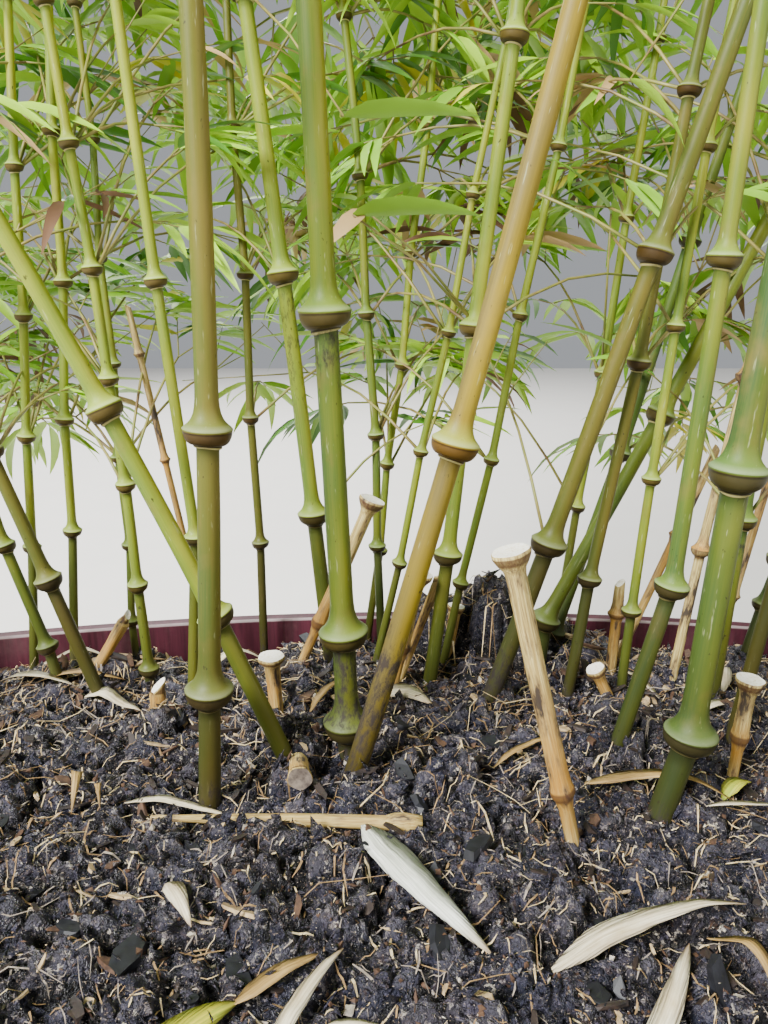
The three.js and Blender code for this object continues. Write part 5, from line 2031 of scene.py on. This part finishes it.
class BAMBOO_OT_stage(bpy.types.Operator):
    """Set the camera, the pale floor and the soft studio lights"""

    bl_idname = "bamboo.stage"
    bl_label = "Stage"

    def execute(self, context):
        self.camera(context)
        self.floor(context)
        for row in LIGHTS:
            self.light(context, *row)
        world = bpy.data.worlds.new("studio")
        world.use_nodes = True
        background = world.node_tree.nodes["Background"]
        background.inputs["Color"].default_value = rgba("#eef2f8")
        background.inputs["Strength"].default_value = SKY_STRENGTH
        context.scene.world = world
        return {"FINISHED"}

    def camera(self, context):
        """The camera of the photo's view."""
        settings = context.scene.bamboo_stage
        data = bpy.data.cameras.new("camera")
        data.lens = settings.lens
        data.clip_start = 0.01
        camera = bpy.data.objects.new("camera", data)
        camera.location = settings.camera_place
        camera.rotation_euler = (math.pi / 2 - settings.camera_pitch, 0, 0)
        context.scene.collection.objects.link(camera)
        context.scene.camera = camera

    def floor(self, context):
        """The pale floor, which is stage and no piece."""
        mesh = bpy.data.meshes.new("floor")
        signs = ((-1, -1), (1, -1), (1, 1), (-1, 1))
        corners = [(FLOOR_HALF * x, FLOOR_HALF * y, FLOOR_LEVEL) for x, y in signs]
        mesh.from_pydata(corners, [], [(0, 1, 2, 3)])
        mesh.materials.append(material_named("painted_plaster_pale", floor_material))
        floor = bpy.data.objects.new("floor", mesh)
        context.scene.collection.objects.link(floor)
        floor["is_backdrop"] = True

    def light(self, context, name, place, size, power):
        """One square light that faces the plant."""
        data = bpy.data.lights.new(name, "AREA")
        data.size = size
        data.energy = power
        light = bpy.data.objects.new(name, data)
        light.location = place
        light.rotation_euler = (LIT_POINT - Vector(place)).to_track_quat("-Z", "Y").to_euler()
        context.scene.collection.objects.link(light)


OPERATORS = (
    BAMBOO_OT_stage, BAMBOO_OT_pot, BAMBOO_OT_soil, BAMBOO_OT_crumbs, BAMBOO_OT_straw, BAMBOO_OT_canes,
    BAMBOO_OT_stubs, BAMBOO_OT_remnants, BAMBOO_OT_fallen, BAMBOO_OT_foliage, BAMBOO_OT_side_sprays,
    BAMBOO_OT_broad_leaves,
)
SETTINGS = {
    "bamboo_pot": PotSettings,
    "bamboo_soil": SoilSettings,
    "bamboo_culm": CulmSettings,
    "bamboo_litter": LitterSettings,
    "bamboo_foliage": FoliageSettings,
    "bamboo_stage": StageSettings,
}


class BAMBOO_PT_panel(bpy.types.Panel):
    """The pieces of the potted bamboo."""

    bl_idname = "BAMBOO_PT_panel"
    bl_label = "Potted bamboo"
    bl_space_type = "VIEW_3D"
    bl_region_type = "UI"
    bl_category = "Bamboo"

    def draw(self, context):
        layout = self.layout
        for operator in OPERATORS:
            layout.operator(operator.bl_idname)
        for name, group in SETTINGS.items():
            box = layout.box()
            box.label(text=group.__doc__.strip("."))
            for key in group.__annotations__:
                box.prop(getattr(context.scene, name), key)


def register():
    for group in SETTINGS.values():
        bpy.utils.register_class(group)
    for name, group in SETTINGS.items():
        setattr(bpy.types.Scene, name, PointerProperty(type=group))
    for operator in OPERATORS:
        bpy.utils.register_class(operator)
    bpy.utils.register_class(BAMBOO_PT_panel)


def unregister():
    bpy.utils.unregister_class(BAMBOO_PT_panel)
    for operator in reversed(OPERATORS):
        bpy.utils.unregister_class(operator)
    for name, group in SETTINGS.items():
        delattr(bpy.types.Scene, name)
        bpy.utils.unregister_class(group)


def main():
    register()
    for operator in OPERATORS:
        group, name = operator.bl_idname.split(".")
        getattr(getattr(bpy.ops, group), name)()
    sizes = {"cad": CAD_BOX, "visual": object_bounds()}
    {key: [list(map(float, corner)) for corner in box] for key, box in sizes.items()}


if __name__ == "__main__":
    main()
